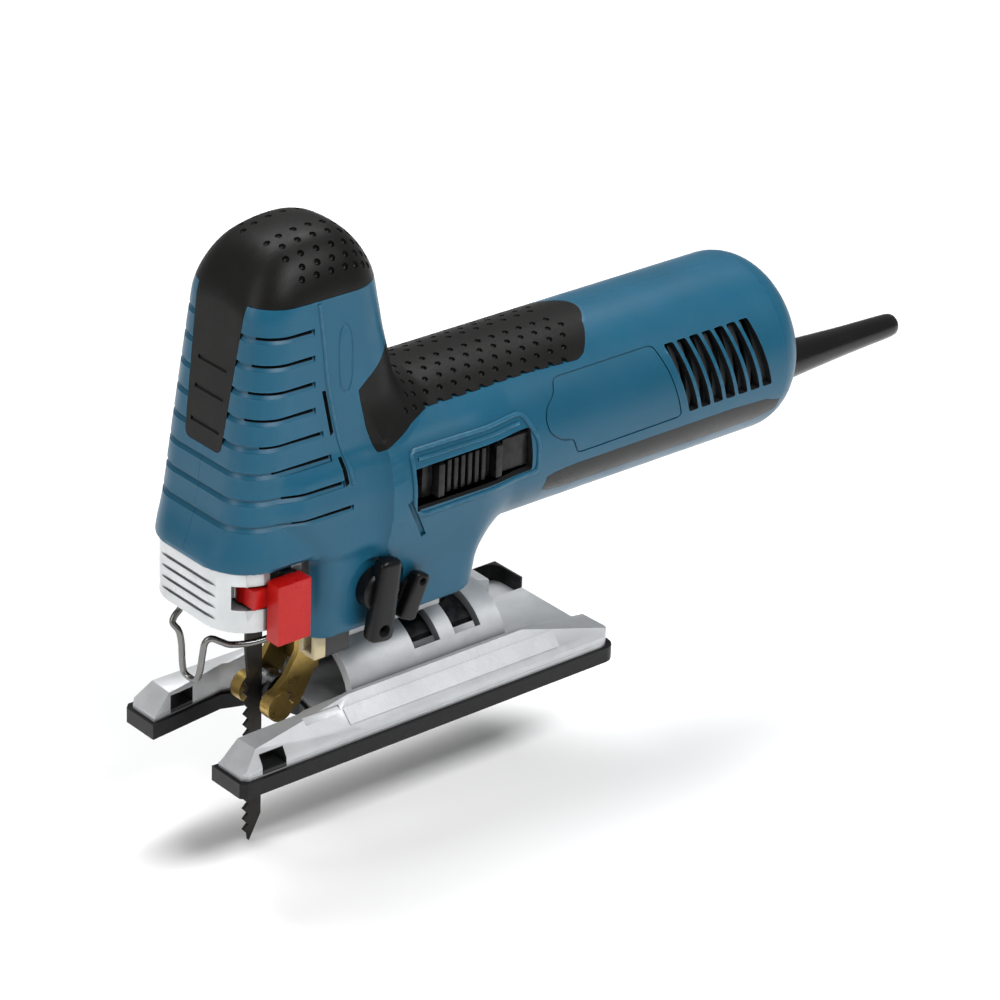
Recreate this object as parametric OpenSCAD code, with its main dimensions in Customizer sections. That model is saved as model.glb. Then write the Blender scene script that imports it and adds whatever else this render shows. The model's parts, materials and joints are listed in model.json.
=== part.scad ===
// Barrel-grip jigsaw, millimetres. +X runs from the blade end to the cord end, +Z is up,
// +Y is the tool's right-hand side. The origin is the centre of the sole face.

/* [Base] */
// Length of the base and its shoe
base_len = 160; // [150:1:195]
// Width of the shoe
base_w = 66; // [63:1:80]
// Thickness of the plastic shoe, from the sole to its lip
shoe_t = 5.5; // [4.5:0.1:6.6]
// Clear width between the prongs at their tips
prong_gap = 31; // [28:1:37]
// Clear width of the slot beside the blade
slot_gap = 39; // [36:1:42]
// Length of the slot, from the front edge of the base
slot_len = 36; // [33:1:40]
// Height of the two ridges above the sole
ridge_h = 18; // [16:0.5:19]
// Bevel axis above the sole
bevel_z = 10; // [9:0.5:11]
// Outer radius of the bevel hump about the bevel axis
hump_r = 20; // [19:0.5:22]
// Wall of the hump
hump_wall = 3.4; // [2.8:0.1:4]
// Largest bevel to each side, degrees
bevel_max = 45; // [38:1:45]

/* [Housing] */
// Height of the motor axis above the sole
motor_z = 88.5; // [84:0.5:100]
// Outer diameter of the barrel grip
barrel_d = 64; // [60:0.5:76]
// Rear face of the barrel, from the origin
barrel_end = 166; // [160:1:200]
// Plastic wall of the housing
wall = 2.6; // [2.2:0.1:3.1]
// Top of the tower above the sole
tower_top = 181; // [175:1:200]
// Half width of the tower at its foot
tower_hw = 25.5; // [24:0.5:30]
// Front face of the tower at the collar
tower_front = -75.5; // [-82:0.5:-72]
// Half width of the lower body
body_hw = 28; // [27:0.5:31]
// Rear face of the lower body
body_rear = 27; // [24:0.5:32]
// Lower edge of the body sides above the sole
body_low = 43; // [41:0.5:46]

/* [Drive] */
// Stroke of the blade
stroke = 26; // [22:1:27]
// Gear module
gear_m = 0.6; // [0.5:0.05:0.65]
// Teeth of the motor pinion
pinion_teeth = 8; // [7:1:9]
// Teeth of the gear wheel
wheel_teeth = 64; // [56:1:66]
// Diameter of the plunger
plunger_d = 10; // [8.5:0.5:12]
// Diameter of the motor shaft
shaft_d = 8; // [7:0.5:9]
// Stack length of the motor laminations
stack_len = 48; // [40:1:57]

/* [Blade] */
// Length of the blade below its clamp
blade_out = 88; // [80:1:92]
// Width of the blade
blade_w = 7; // [6:0.2:8]
// Thickness of the blade
blade_t = 1.3; // [1:0.1:1.6]
// Pitch of the blade teeth
tooth_pitch = 4; // [3:0.25:5]
// Back edge of the blade, from the origin
blade_back = -48.2; // [-50:0.2:-46]
// Radius of the guide roller
roller_r = 5; // [4.2:0.2:5.6]

/* [Controls] */
// Length of the bend protection sleeve beyond the barrel
sleeve_len = 72; // [60:1:86]
// Radius of the sleeve at the barrel
sleeve_r = 7.6; // [7:0.1:8.2]
// Radius of the sleeve at its tip
sleeve_tip_r = 4.3; // [4:0.1:5]
// Radius of the bore that the cord fills
sleeve_bore = 3.2; // [2.7:0.1:3.6]
// Travel of the switch slider
switch_travel = 6; // [5:0.5:7]
// Length of the switch slider
slider_len = 33; // [28:1:38]
// Length of the orbit lever's handle
orbit_len = 17; // [14:1:20]

/* [Fits] */
// Radial clearance of turning and sliding fits
run_fit = 0.05; // [0.03:0.01:0.08]
// Gap between pieces that are clipped or screwed together
seat_gap = 0.1; // [0.05:0.01:0.2]
// Gap beside pieces that move freely
free_gap = 0.5; // [0.4:0.05:0.8]

/* [Hidden] */
$fn = 48;
eps = 0.01;

// Base
half_len = base_len / 2;
half_w = base_w / 2;
deck_z = shoe_t + 1.6;
nose_h = 14.3;
ridge_y = 19.4;
rail_y = half_w - 1.6;
hump_front = -25;
hump_rear = 41;
screw_x = [9, 26.5];
clamp_screw_d = 5;
slot_w = 11;
slot_angle = bevel_max + asin((clamp_screw_d / 2 + free_gap) / (hump_r - hump_wall));
window_x = [-71, -61.5];
window_z = [shoe_t + 1.9, shoe_t + 6.9];

// Housing
barrel_r = barrel_d / 2;
lean = 0.14;
collar_z = 75;
cap_z = 162;
tower_rear = -9;
neck_front = -46.5;
blend_r = 13;
shoulder_r = 14;
well_hw = 22;
floor_z = body_low + 6;

// Drive
gear_dist = gear_m * (pinion_teeth + wheel_teeth) / 2;
wheel_z = motor_z + gear_dist;
crank_r = stroke / 2;
plunger_x = blade_back - blade_w / 2;
plate_x = -14;
plate_t = 7;
wheel_x = plate_x - 8.5;
wheel_t = 6;
pin_d = 7;
slider_t = 7;
rocker_z = wheel_z + crank_r + 34;
stator_x = 24;
fan_x = 3;
comm_x = stator_x + stack_len + 14;
rear_x = comm_x + 26;
front_brg_od = 22;
rear_brg_od = 19;

// Guide
fork_pivot = [-33, 42];
roller_x = blade_back + roller_r + 0.05;
roller_z = 15;

function front_x(z) = tower_front + lean * (z - 88);

// Points of a rounded rectangle from x0 to x1 and from -hw to hw, with corner radii rf and rr
function arc_pts(cx, cy, r, a0, n) = [for (i = [0 : n]) [cx + r * cos(a0 + 90 * i / n),
    cy + r * sin(a0 + 90 * i / n)]];
function slab_pts(x0, x1, hw, rf, rr, n = 7) = concat(
    arc_pts(x1 - rr, hw - rr, rr, 0, n), arc_pts(x0 + rf, hw - rf, rf, 90, n),
    arc_pts(x0 + rf, -hw + rf, rf, 180, n), arc_pts(x1 - rr, -hw + rr, rr, 270, n));
module slab(z, x0, x1, hw, rf, rr) {
    translate([0, 0, z]) linear_extrude(eps) polygon(slab_pts(x0, x1, hw, rf, rr));
}
module along_x(x0, x1) {
    translate([x0, 0, 0]) rotate([90, 0, 90]) linear_extrude(x1 - x0) children();
}
module along_y(y0, y1) {
    translate([0, y1, 0]) rotate([90, 0, 0]) linear_extrude(y1 - y0) children();
}
module rod_x(x0, x1, y, z, r) {
    translate([x0, y, z]) rotate([0, 90, 0]) cylinder(h = x1 - x0, r = r);
}
module rod_y(y0, y1, x, z, r) {
    translate([x, y0, z]) rotate([-90, 0, 0]) cylinder(h = y1 - y0, r = r);
}
module rod_z(z0, z1, x, y, r) {
    translate([x, y, z0]) cylinder(h = z1 - z0, r = r);
}
module box(x, y, z) {
    translate([x[0], y[0], z[0]]) cube([x[1] - x[0], y[1] - y[0], z[1] - z[0]]);
}

// ---------- housing ----------
// Levels of the tower: height, front, rear, half width, front corner radius, rear corner radius
function tower_levels(d) = [
    [collar_z, -80.5 + d, -20, body_hw - 0.5 - d, 19, 8],
    [79, -79.6 + d, -20, body_hw - 0.9 - d, 19, 8],
    [85, front_x(85) - 1 + d, -20, tower_hw + 0.6 - d, 14, 8],
    [92, front_x(92) + d, -14 - d, tower_hw - d, 13, 12],
    [110, front_x(110) + d, tower_rear + 5 - d, tower_hw - 1 - d, 12, 14],
    [126, front_x(126) + d, tower_rear + 2 - d, tower_hw - 1.5 - d, 12, 15],
    [145, front_x(145) + d, tower_rear - 2 - d, tower_hw - 2.2 - d, 12, 16],
    [cap_z, front_x(cap_z) + d, tower_rear - 5 - d, tower_hw - 3 - d, 12, 16]];
function cap_levels(d) = [
    [cap_z, front_x(cap_z) + d, tower_rear - 5 - d, tower_hw - 3 - d, 12, 16],
    [cap_z + 6.06, front_x(cap_z) + 2 + d, tower_rear - 6 - d, tower_hw - 3.4 - d, 13, 16],
    [tower_top - 8, front_x(cap_z) + 5.5 + d, tower_rear - 8.5 - d, tower_hw - 5.5 - d, 13, 14],
    [tower_top - 4, front_x(cap_z) + 10 + d, tower_rear - 12 - d, tower_hw - 9 - d, 12, 12],
    [tower_top - 1.4, front_x(cap_z) + 16 + d, tower_rear - 17 - d, tower_hw - 13.5 - d, 9, 9],
    [tower_top - d / 2, front_x(cap_z) + 26 + d, tower_rear - 24 - d, 7 - d / 2, 4, 4]];
module loft(levels) {
    for (i = [0 : len(levels) - 2]) hull() {
        a = levels[i];
        b = levels[i + 1];
        slab(a[0], a[1], a[2], a[3], a[4], a[5]);
        slab(b[0], b[1], b[2], b[3], b[4], b[5]);
    }
}
module barrel_solid(d, x0 = -18) {
    r = barrel_r - d;
    len = barrel_end - d - x0;
    translate([x0, 0, motor_z]) rotate([0, 90, 0]) rotate_extrude($fn = 72) polygon(concat(
        [[0, 0], [r, 0], [r, len - shoulder_r]],
        [for (a = [15 : 15 : 75]) [r - shoulder_r + shoulder_r * cos(a), len - shoulder_r + shoulder_r * sin(a)]],
        [[r - shoulder_r, len], [0, len]]));
}
module neck_solid(d) {
    hull() {
        slab(body_low, neck_front + d, body_rear - 3 - d, body_hw - 1.5 - d, 5, 12);
        slab(64, neck_front + d, body_rear - d, body_hw - d, 5, 12);
        slab(collar_z + 2, neck_front + d, body_rear - d, body_hw - d, 5, 12);
    }
    hull() {
        slab(collar_z + 2, neck_front + d, body_rear - d, body_hw - d, 5, 12);
        slab(motor_z + 4, neck_front - 14 + d, body_rear + 6 - d, body_hw + 1 - d, 12, 12);
        slab(motor_z + 16, neck_front - 12 + d, body_rear - d, tower_hw + 1 - d, 12, 12);
    }
}
// Concave blends between the neck, the tower and the barrel
module blend_prism(x, z, sx, sz, hw) {
    along_y(-hw, hw) difference() {
        polygon([[x - sx, z - sz], [x + sx * blend_r, z - sz], [x - sx, z + sz * blend_r]]);
        translate([x + sx * blend_r, z + sz * blend_r]) circle(r = blend_r);
    }
}
module body_solid(d) {
    loft(tower_levels(d));
    translate([0, 0, -d]) loft(cap_levels(d));
    barrel_solid(d);
    neck_solid(d);
}
module blends() {
    intersection() {
        union() {
            blend_prism(tower_rear - 4, motor_z + barrel_r - 3, 1, 1, 15);
            blend_prism(body_rear - 1.5, motor_z - barrel_r + 6, 1, -1, 17);
        }
        union() {
            rod_x(-20, 60, 0, motor_z, barrel_r + 9);
            box([0, 60], [-18, 18], [40, 70]);
        }
    }
}
// Underside: an arc on the hump, then two slopes that clear the base at full bevel
module under_cut() {
    along_x(neck_front - 1, body_rear + 20)
        polygon([[-40, -1], [40, -1], [40, body_low + 5.5], [body_hw, body_low - 1],
            [9.5, bevel_z + hump_r + 3], [7.3, bevel_z + hump_r + 0.5], [-7.3, bevel_z + hump_r + 0.5],
            [-9.5, bevel_z + hump_r + 3], [-body_hw, body_low - 1], [-40, body_low + 5.5]]);
}
// Cooling slots in the tower and the barrel
module tower_slots() {
    for (i = [0 : 7], s = [-1, 1]) {
        z = 152.58 - 8.85 * i;
        x1 = i < 4 ? -46.5 : -46.5 + 3 * (i - 3);
        x0 = x1 - 21.5;
        box([x0, x1], s > 0 ? [tower_hw - 7.74, 40] : [-40, 7.74 - tower_hw], [z - 0.8, z + 0.8]);
    }
}
module barrel_slots() {
    for (i = [0 : 6], s = [-1, 1]) along_y(s > 0 ? barrel_r - 13 : -40, s > 0 ? 40 : 13 - barrel_r)
        translate([vent_x + vent_pitch * i, motor_z - 5]) polygon([[2.6, 0], [7.4, 0], [4.8, 25], [0, 25]]);
}
module switch_window() {
    box([switch_front, switch_front + switch_travel + slider_len + 6.5], [-40, -body_hw + wall + 1.4], [84, 98]);
    // Room of the flange behind the window
    box([switch_front - 10, switch_front + switch_travel + slider_len + 12], [-body_hw + wall - 0.01, -20], [82, 100]);
}
module lever_holes() {
    rod_y(-40, -body_hw + 6, orbit_x, orbit_z, orbit_axle_r + 0.35);
    rod_y(-40, -body_hw + 6, blow_x, blow_z, blow_axle_r + 0.35);
}
orbit_x = -23.5;
orbit_z = 58;
orbit_axle_r = 4;
orbit_recess_r = 11.5;
blow_x = -10;
blow_z = floor_z + 4.2;
blow_axle_r = 2.6;

module housing() {
    difference() {
        union() {
            body_solid(0);
            blends();
        }
        difference() {
            body_solid(wall);
            box([-90, body_rear + 1], [-40, 40], [-1, floor_z]);
            bosses();
        }
        // Slot for the foot of the gear case
        box([-28, body_rear - wall - 2.3], [-foot_hw - seat_gap, foot_hw + seat_gap], [20, floor_z + 1]);
        box([-29, plate_x + 1], [-10.7, 10.7], [20, floor_z + 1]);
        under_cut();
        // Open front, below the collar, and open floor around the blade guides
        box([-95, neck_front], [-40, 40], [-1, collar_z]);
        box([neck_front - 1, -28], [-well_hw, well_hw], [20, collar_z + 2]);
        skin_room();
        tower_slots();
        barrel_slots();
        switch_window();
        lever_holes();
        rod_x(barrel_end - 20, barrel_end + 5, 0, sleeve_z, sleeve_r + seat_gap);
        dial_slot();
        // Recess of the orbit lever
        rod_y(-40, -body_hw + 1, orbit_x, orbit_z, orbit_recess_r);
        screw_holes();
    }
}
foot_hw = 7;
sleeve_z = motor_z - 16.5;
skin_t = 1.8;
vent_x = 95;
vent_pitch = 7.6;
vent_end = vent_x + 7 * vent_pitch - 0.5;

// Room for the soft skins, and the skins themselves
module skin_room() {
    cap_skin(0.02);
    grip_skin(0.02);
    for (s = [-1, 1]) strip_skin(s, 0.02);
}
// The room of a skin is open to the outside, its solid ends flush with the casing
function skin_out(e) = e > 0 ? -0.4 : 0;
module cap_zone(e) {
    box([-100, 20], [-40, 40], [cap_z - e, tower_top + 20]);
    // The front strip tapers downwards
    intersection() {
        along_x(-100, -60) polygon([[-9.5 - e, 112 - e], [9.5 + e, 112 - e], [13 + e, cap_z + 1],
            [-13 - e, cap_z + 1]]);
        box([-100, -60], [-40, 40], [100, 200]);
    }
}
module cap_skin(e) {
    intersection() {
        difference() {
            union() {
                loft(tower_levels(skin_out(e)));
                loft(cap_levels(skin_out(e)));
            }
            union() {
                loft(tower_levels(skin_t + e));
                translate([0, 0, -skin_t - e]) loft(cap_levels(skin_t + e));
            }
        }
        cap_zone(e);
    }
}
module grip_zone(e) {
    along_y(-40, 40) polygon([[-28 - e, 122 - e], [-24 - e, 108.5 - e], [8, 112 - e], [66 + e, 108 - e],
        [66 + e, 130], [4, 140], [-20 - e, 140]]);
}
module grip_skin(e) {
    intersection() {
        difference() {
            union() {
                rod_x(-30, 66 + e, 0, motor_z, barrel_r - skin_out(e), $fn = 72);
                loft(tower_levels(skin_out(e)));
                blends();
            }
            rod_x(-31, 67 + e, 0, motor_z, barrel_r - skin_t - e, $fn = 72);
            loft(tower_levels(skin_t + e));
        }
        grip_zone(e);
        box([-18, 67], [-40, 40], [90, 136]);
    }
}
module strip_skin(s, e) {
    intersection() {
        difference() {
            rod_x(47 - e, barrel_end - shoulder_r + e, 0, motor_z, barrel_r - skin_out(e), $fn = 72);
            rod_x(46, barrel_end, 0, motor_z, barrel_r - skin_t - e, $fn = 72);
        }
        along_x(46, barrel_end) polygon([[0, motor_z], [s * 60 * cos(15.5 - e), motor_z - 60 * sin(15.5 - e)],
            [s * 60 * cos(35.5 + e), motor_z - 60 * sin(35.5 + e)]]);
    }
}
dial_x = barrel_end - 9.5;
dial_z = motor_z + 10;
switch_front = -12;
module dial_slot() {
    box([dial_x, barrel_end + 5], [-4, 4], [dial_z - 11, dial_z + 12.4]);
}
// Places of the casing screws, as x and z
screw_spots = [[tower_front + 9, motor_z + 9], [-42, tower_top - 12.5], [-23.9, 72],
    [body_rear - 9, motor_z - barrel_r - 1], [comm_x + 12, motor_z - barrel_r + wall + 5],
    [comm_x + 12, motor_z + barrel_r - wall - 5], [rear_x + 21, motor_z - barrel_r + wall + 5],
    [rear_x + 28, motor_z + barrel_r - wall - 5]];
module screw_holes() {
    for (p = screw_spots) {
        rod_y(screw_seat, 60, p[0], p[1], screw_head_r + 0.3);
        rod_y(-12, 10, p[0], p[1], screw_r);
    }
}
module bosses() {
    for (p = screw_spots) rod_y(-60, 60, p[0], p[1], boss_r);
}
module housing_left() color("#3a7590") intersection() {
    housing();
    box([-100, 200], [-60, -seat_gap / 2], [-5, 220]);
}
module housing_right() color("#3a7590") intersection() {
    housing();
    box([-100, 200], [seat_gap / 2, 60], [-5, 220]);
}
module tower_cap() color("#2b2926") cap_skin(-seat_gap);
module saddle_grip() color("#2b2926") grip_skin(-seat_gap);
module side_strips() color("#1c1b1a") for (s = [-1, 1]) strip_skin(s, -seat_gap);

// ---------- casing screws, screens, cord entry ----------
screw_r = 1.9;
screw_head_r = 3.5;
screw_seat = 8;
boss_r = 4.4;
module housing_screws() color("#3c3c3c") for (p = screw_spots) difference() {
    union() {
        rod_y(-11, screw_seat + 1, p[0], p[1], screw_r);
        rod_y(screw_seat, screw_seat + 3, p[0], p[1], screw_head_r);
    }
    rod_y(screw_seat + 1, screw_seat + 4, p[0], p[1], 1.4);
}
module vent_screens() color("#101418") for (s = [-1, 1]) intersection() {
    difference() {
        rod_x(vent_x - 3, vent_end, 0, motor_z, barrel_r - wall - seat_gap);
        rod_x(vent_x - 4, vent_end + 1, 0, motor_z, barrel_r - wall - 1.3);
        for (i = [0 : 11]) box([vent_x + 4 * i, vent_x + 2 + 4 * i], [-60, 60], [motor_z - 9, motor_z + 20]);
    }
    box([vent_x - 5, vent_end + 2], s > 0 ? [10, 60] : [-60, -10], [motor_z - 13, motor_z + 19.8]);
}
// Bend protection sleeve, with a collar inside the casing
module cord_sleeve() color("#181818") {
    x0 = barrel_end - wall - 9;
    len = barrel_end + sleeve_len - x0;
    translate([x0, 0, sleeve_z]) rotate([0, 90, 0]) rotate_extrude(convexity = 4) polygon([
        [sleeve_bore, 0], [sleeve_r + 1.2, 0], [sleeve_r + 1.2, 3], [sleeve_r, 3.2], [sleeve_r, 16],
        [sleeve_r - 0.6, 28], [sleeve_r - 1.9, 48], [sleeve_tip_r + 0.6, len - 8], [sleeve_tip_r, len - 1],
        [sleeve_tip_r - 0.6, len], [sleeve_bore, len]]);
}
module cord_clamp() color("#26282a") difference() {
    box([barrel_end - 22, barrel_end - wall - 9.3], [-12, 12], [sleeve_z - 9.2, sleeve_z + 5.5]);
    rod_x(barrel_end - 30, barrel_end, 0, sleeve_z, sleeve_bore);
    for (s = [-1, 1]) rod_z(sleeve_z - 20, sleeve_z + 20, barrel_end - 17.5, s * 8.4, screw_r);
}
module cord_clamp_screws() color("#8c8f92") for (s = [-1, 1]) {
    rod_z(sleeve_z - 9.5, sleeve_z + 5.5, barrel_end - 17.5, s * 8.4, screw_r);
    rod_z(sleeve_z + 5.5, sleeve_z + 7.5, barrel_end - 17.5, s * 8.4, 3.2);
}

// ---------- motor ----------
shaft_r = shaft_d / 2;
module armature_shaft() color("#b9bcc0") {
    rod_x(plate_x - 1, fan_x - 4, 0, motor_z, shaft_r);
    rod_x(fan_x - 4, rear_x - 2, 0, motor_z, shaft_r + 1);
    rod_x(rear_x - 2, rear_x + 9, 0, motor_z, shaft_r);
    rod_x(wheel_x - wheel_t / 2 - 1, plate_x - 1, 0, motor_z, 1.6);
}
module motor_pinion() color("#a2a5a8") difference() {
    along_x(wheel_x - wheel_t / 2 - 1, plate_x - 1.5) translate([0, motor_z]) rotate(90) tooth_disc(pinion_teeth);
    rod_x(wheel_x - 20, plate_x + 5, 0, motor_z, 1.6);
}
// Outline of a toothed disc, with straight-sided teeth and backlash
module tooth_disc(n) {
    rp = gear_m * n / 2;
    p = 360 / n;
    polygon([for (i = [0 : n - 1], k = [[-0.34, -1.15], [-0.13, 0.85], [0.13, 0.85], [0.34, -1.15]])
        (rp + k[1] * gear_m) * [cos((i + k[0]) * p), sin((i + k[0]) * p)]]);
}
core_r = 17;
module armature_core() color("#5c5f63") difference() {
    rod_x(stator_x, stator_x + stack_len, 0, motor_z, core_r);
    rod_x(stator_x - 1, stator_x + stack_len + 1, 0, motor_z, shaft_r + 1);
    for (i = [0 : 11]) translate([stator_x - 1, 0, motor_z]) rotate([i * 30, 0, 0])
        translate([0, core_r - 3.5, -0.9]) cube([stack_len + 2, 5, 1.8]);
}
module commutator() color("#b87344") difference() {
    rod_x(comm_x, comm_x + 15, 0, motor_z, 11);
    rod_x(comm_x - 1, comm_x + 16, 0, motor_z, shaft_r + 1);
    for (i = [0 : 11]) translate([comm_x + 2, 0, motor_z]) rotate([i * 30, 0, 0])
        translate([0, 10.4, -0.3]) cube([14, 5, 0.6]);
}
module cooling_fan() color("#3a3d40") {
    r = barrel_r - wall - 6;
    difference() {
        union() {
            rod_x(fan_x, fan_x + 2, 0, motor_z, r);
            rod_x(fan_x, fan_x + 11, 0, motor_z, 9);
            for (i = [0 : 10]) translate([fan_x + 1, 0, motor_z]) rotate([i * 360 / 11, 0, 0])
                translate([0, 8, -0.8]) cube([9, r - 8.6, 1.6]);
        }
        rod_x(fan_x - 1, fan_x + 12, 0, motor_z, shaft_r + 1);
    }
}
stator_flat = barrel_r - wall - 5.8;
module stator_core() color("#6a6d70") intersection() {
    difference() {
        rod_x(stator_x, stator_x + stack_len, 0, motor_z, barrel_r - wall - seat_gap);
        rod_x(stator_x - 1, stator_x + stack_len + 1, 0, motor_z, core_r + free_gap);
        // Windows for the field coils above and below
        for (z = [motor_z + 17.1, motor_z - 24.5]) translate([stator_x - 1, -15.8, z]) cube([stack_len + 2, 31.6, 7.4]);
    }
    box([stator_x, stator_x + stack_len], [-stator_flat, stator_flat], [motor_z - 60, motor_z + 60]);
}
module field_coils() color("#a65e2e") for (s = [-1, 1]) difference() {
    translate([stator_x - 6, -15.5, motor_z + s * 21 - 3.2]) cube([stack_len + 12, 31, 6.4]);
    rod_x(stator_x - 8, stator_x + stack_len + 8, 0, motor_z, core_r + free_gap);
    translate([stator_x - 0.1, -12.5, motor_z + s * 21 - 4]) cube([stack_len + 0.2, 25, 8]);
}
module ball_bearing(x, od, bore, t) {
    difference() {
        rod_x(x, x + t, 0, motor_z, od / 2);
        rod_x(x - 1, x + t + 1, 0, motor_z, od / 2 - 2.2);
    }
    difference() {
        rod_x(x, x + t, 0, motor_z, bore / 2 + 2);
        rod_x(x - 1, x + t + 1, 0, motor_z, bore / 2 + run_fit);
    }
    difference() {
        rod_x(x + 1, x + t - 1, 0, motor_z, od / 2 - 2.2);
        rod_x(x, x + t, 0, motor_z, bore / 2 + 2);
    }
}
module front_bearing() color("#c6c8ca") ball_bearing(plate_x, front_brg_od, shaft_d, plate_t);
module rear_bearing() color("#c6c8ca") ball_bearing(rear_x, rear_brg_od, shaft_d, 6);
module bearing_bridge() color("#2f3336") difference() {
    union() {
        rod_x(rear_x - 3, rear_x + 7.5, 0, motor_z, rear_brg_od / 2 + 3);
        box([rear_x, rear_x + 5], [-7, 7], [motor_z - barrel_r + wall + 1, motor_z + barrel_r - wall - 1]);
        box([rear_x, rear_x + 5], [-24, 24], [motor_z + 7, motor_z + 14]);
        // Rails that carry the brush holders
        for (s = [-1, 1]) box([comm_x - 2, rear_x + 1], s > 0 ? [13, 22] : [-22, -13],
            [motor_z + 8, motor_z + 10.5]);
    }
    rod_x(rear_x - 4, rear_x + 9, 0, motor_z, shaft_r + 1.8);
    rod_x(rear_x, rear_x + 6, 0, motor_z, rear_brg_od / 2);
}
brush_x = comm_x + 7;
module brush_holders() color("#c9a24a") for (s = [-1, 1]) difference() {
    box([brush_x - 4.6, brush_x + 4.6], s > 0 ? [12.5, 25] : [-25, -12.5], [motor_z - 5.6, motor_z + 8]);
    box([brush_x - 3.1, brush_x + 3.1], s > 0 ? [12, 24] : [-24, -12], [motor_z - 4.1, motor_z + 4.1]);
}
module carbon_brushes() color("#2c2c2e") for (s = [-1, 1]) difference() {
    box([brush_x - 3, brush_x + 3], s > 0 ? [9, 19] : [-19, -9], [motor_z - 4, motor_z + 4]);
    rod_x(brush_x - 9, brush_x + 9, 0, motor_z, 11.1);
}
module brush_springs() color("#9aa0a6") for (s = [-1, 1]) difference() {
    rod_y(s > 0 ? 19 : -24, s > 0 ? 24 : -19, brush_x, motor_z, 2.6);
    rod_y(-30, 30, brush_x, motor_z, 1.7);
}

// ---------- gear case and mechanism ----------
case_hw = tower_hw - 2.2 - wall - seat_gap - 0.6;
axle_r = 4;
front_wall_x = neck_front + wall + 0.4;
module gear_case() color("#9da1a4") difference() {
    union() {
        // Bearing plate across the tower
        box([plate_x, plate_x + plate_t], [-case_hw, case_hw], [floor_z + seat_gap, motor_z + 15]);
        box([plate_x, plate_x + plate_t], [-12, 12], [motor_z + 14, wheel_z + 5]);
        box([plate_x, plate_x + 1.7], [-7, 7], [wheel_z + 4, wheel_z + 15]);
        box([plate_x - 4.5, plate_x + 1.7], [-7, 7], [wheel_z + 13.4, wheel_z + 27]);
        // Bracket above the wheel
        box([plate_x - 13, plate_x + 0.5], [-11, 11], [wheel_z + 21.5, wheel_z + 27]);
        box([plate_x - 13, plate_x - 7.5], [-13, 13], [wheel_z + 26, rocker_z + 5]);
        // Rails of the counterweight
        for (s = [-1, 1]) box([weight_x[0], plate_x + 1], s > 0 ? [weight_hw + seat_gap, case_hw]
            : [-case_hw, -weight_hw - seat_gap], [64, motor_z + 15]);
        // Foot that stands on the bevel hump
        box([-25, body_rear - wall - 3], [-foot_hw, foot_hw], [bevel_z, 50]);
        // Ears of the rocker pin and their arms
        for (s = [-1, 1]) box([plunger_x - 5, plate_x - 9], s > 0 ? [9.6, 13] : [-13, -9.6],
            [rocker_z - 6, rocker_z + 5]);
        // Arms of the fork pin
        for (s = [-1, 1]) box([fork_pivot[0] - 4, -26], s > 0 ? [6.2, 10.5] : [-10.5, -6.2],
            [fork_pivot[1] - 4, 50]);
        for (s = [-1, 1]) box([-28, plate_x + 1], s > 0 ? [5, 10.5] : [-10.5, -5], [42, 54.5]);
        // Boss of the control levers, on the left
        rod_y(-body_hw + wall + 1.2, -foot_hw + 1, orbit_x, orbit_z, orbit_axle_r + 2.5);
        rod_y(-body_hw + wall + 1.2, -foot_hw + 1, blow_x, blow_z, blow_axle_r + 1.4);
    }
    rod_x(-60, 60, 0, bevel_z, hump_r + seat_gap);
    rod_x(plate_x - 1, plate_x + plate_t + 1, 0, motor_z, front_brg_od / 2);
    rod_x(plate_x - 4, plate_x + plate_t + 1, 0, wheel_z, axle_r);
    rod_y(-20, 20, plunger_x, rocker_z, 2.5);
    rod_y(-20, 20, fork_pivot[0], fork_pivot[1], 2.5);
    for (x = screw_x) rod_z(20, 44, x, 0, clamp_screw_d / 2);
    rod_y(-40, -foot_hw + 2, orbit_x, orbit_z, orbit_axle_r + run_fit);
    rod_y(-40, -foot_hw + 2, blow_x, blow_z, blow_axle_r + run_fit);
}
wheel_bore = axle_r + run_fit;
module gear_wheel() color("#8f9396") difference() {
    union() {
        along_x(wheel_x - wheel_t / 2, wheel_x + wheel_t / 2) translate([0, wheel_z])
            rotate(90 + 180 / wheel_teeth) tooth_disc(wheel_teeth);
        rod_x(wheel_x - wheel_t / 2 - 1, wheel_x, 0, wheel_z, axle_r + 3);
        // Eccentric of the counterweight, on the rear face
        rod_x(wheel_x + wheel_t / 2, plate_x - 0.4, 0, wheel_z - weight_throw, ecc_r);
    }
    rod_x(wheel_x - 20, wheel_x + 20, 0, wheel_z, wheel_bore);
    rod_x(wheel_x - 20, wheel_x + 20, 0, wheel_z + crank_r, pin_d / 2 - 1);
    for (a = [90, 150, 210, 270]) translate([0, 12 * sin(a + 90), wheel_z + 12 * cos(a + 90)])
        rod_x(wheel_x - 20, wheel_x + 20, 0, 0, 2.6);
}
module gear_axle() color("#c4c7c9") rod_x(wheel_x - wheel_t / 2 - 2, plate_x + plate_t, 0, wheel_z, axle_r);
crank_tip = plunger_x + plunger_d / 2 + 1.2;
module crank_pin() color("#c4c7c9") {
    rod_x(wheel_x - wheel_t / 2 - 0.5, wheel_x + wheel_t / 2, 0, wheel_z + crank_r, pin_d / 2 - 1);
    rod_x(yoke_x[1] + free_gap, wheel_x - wheel_t / 2 - 0.5, 0, wheel_z + crank_r, pin_d / 2);
}
slider_h = 12;
slider_w = 8.6;
yoke_z = wheel_z + crank_r;
yoke_x = [crank_tip + 0.2, crank_tip + slider_t + 0.2];
module crank_slider() color("#b08d4c") difference() {
    box(yoke_x, [-slider_w / 2, slider_w / 2], [yoke_z - slider_h / 2 + 1.5, yoke_z + slider_h / 2 - 1.5]);
    rod_x(crank_tip - 1, 0, 0, yoke_z, pin_d / 2 + run_fit);
}
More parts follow.
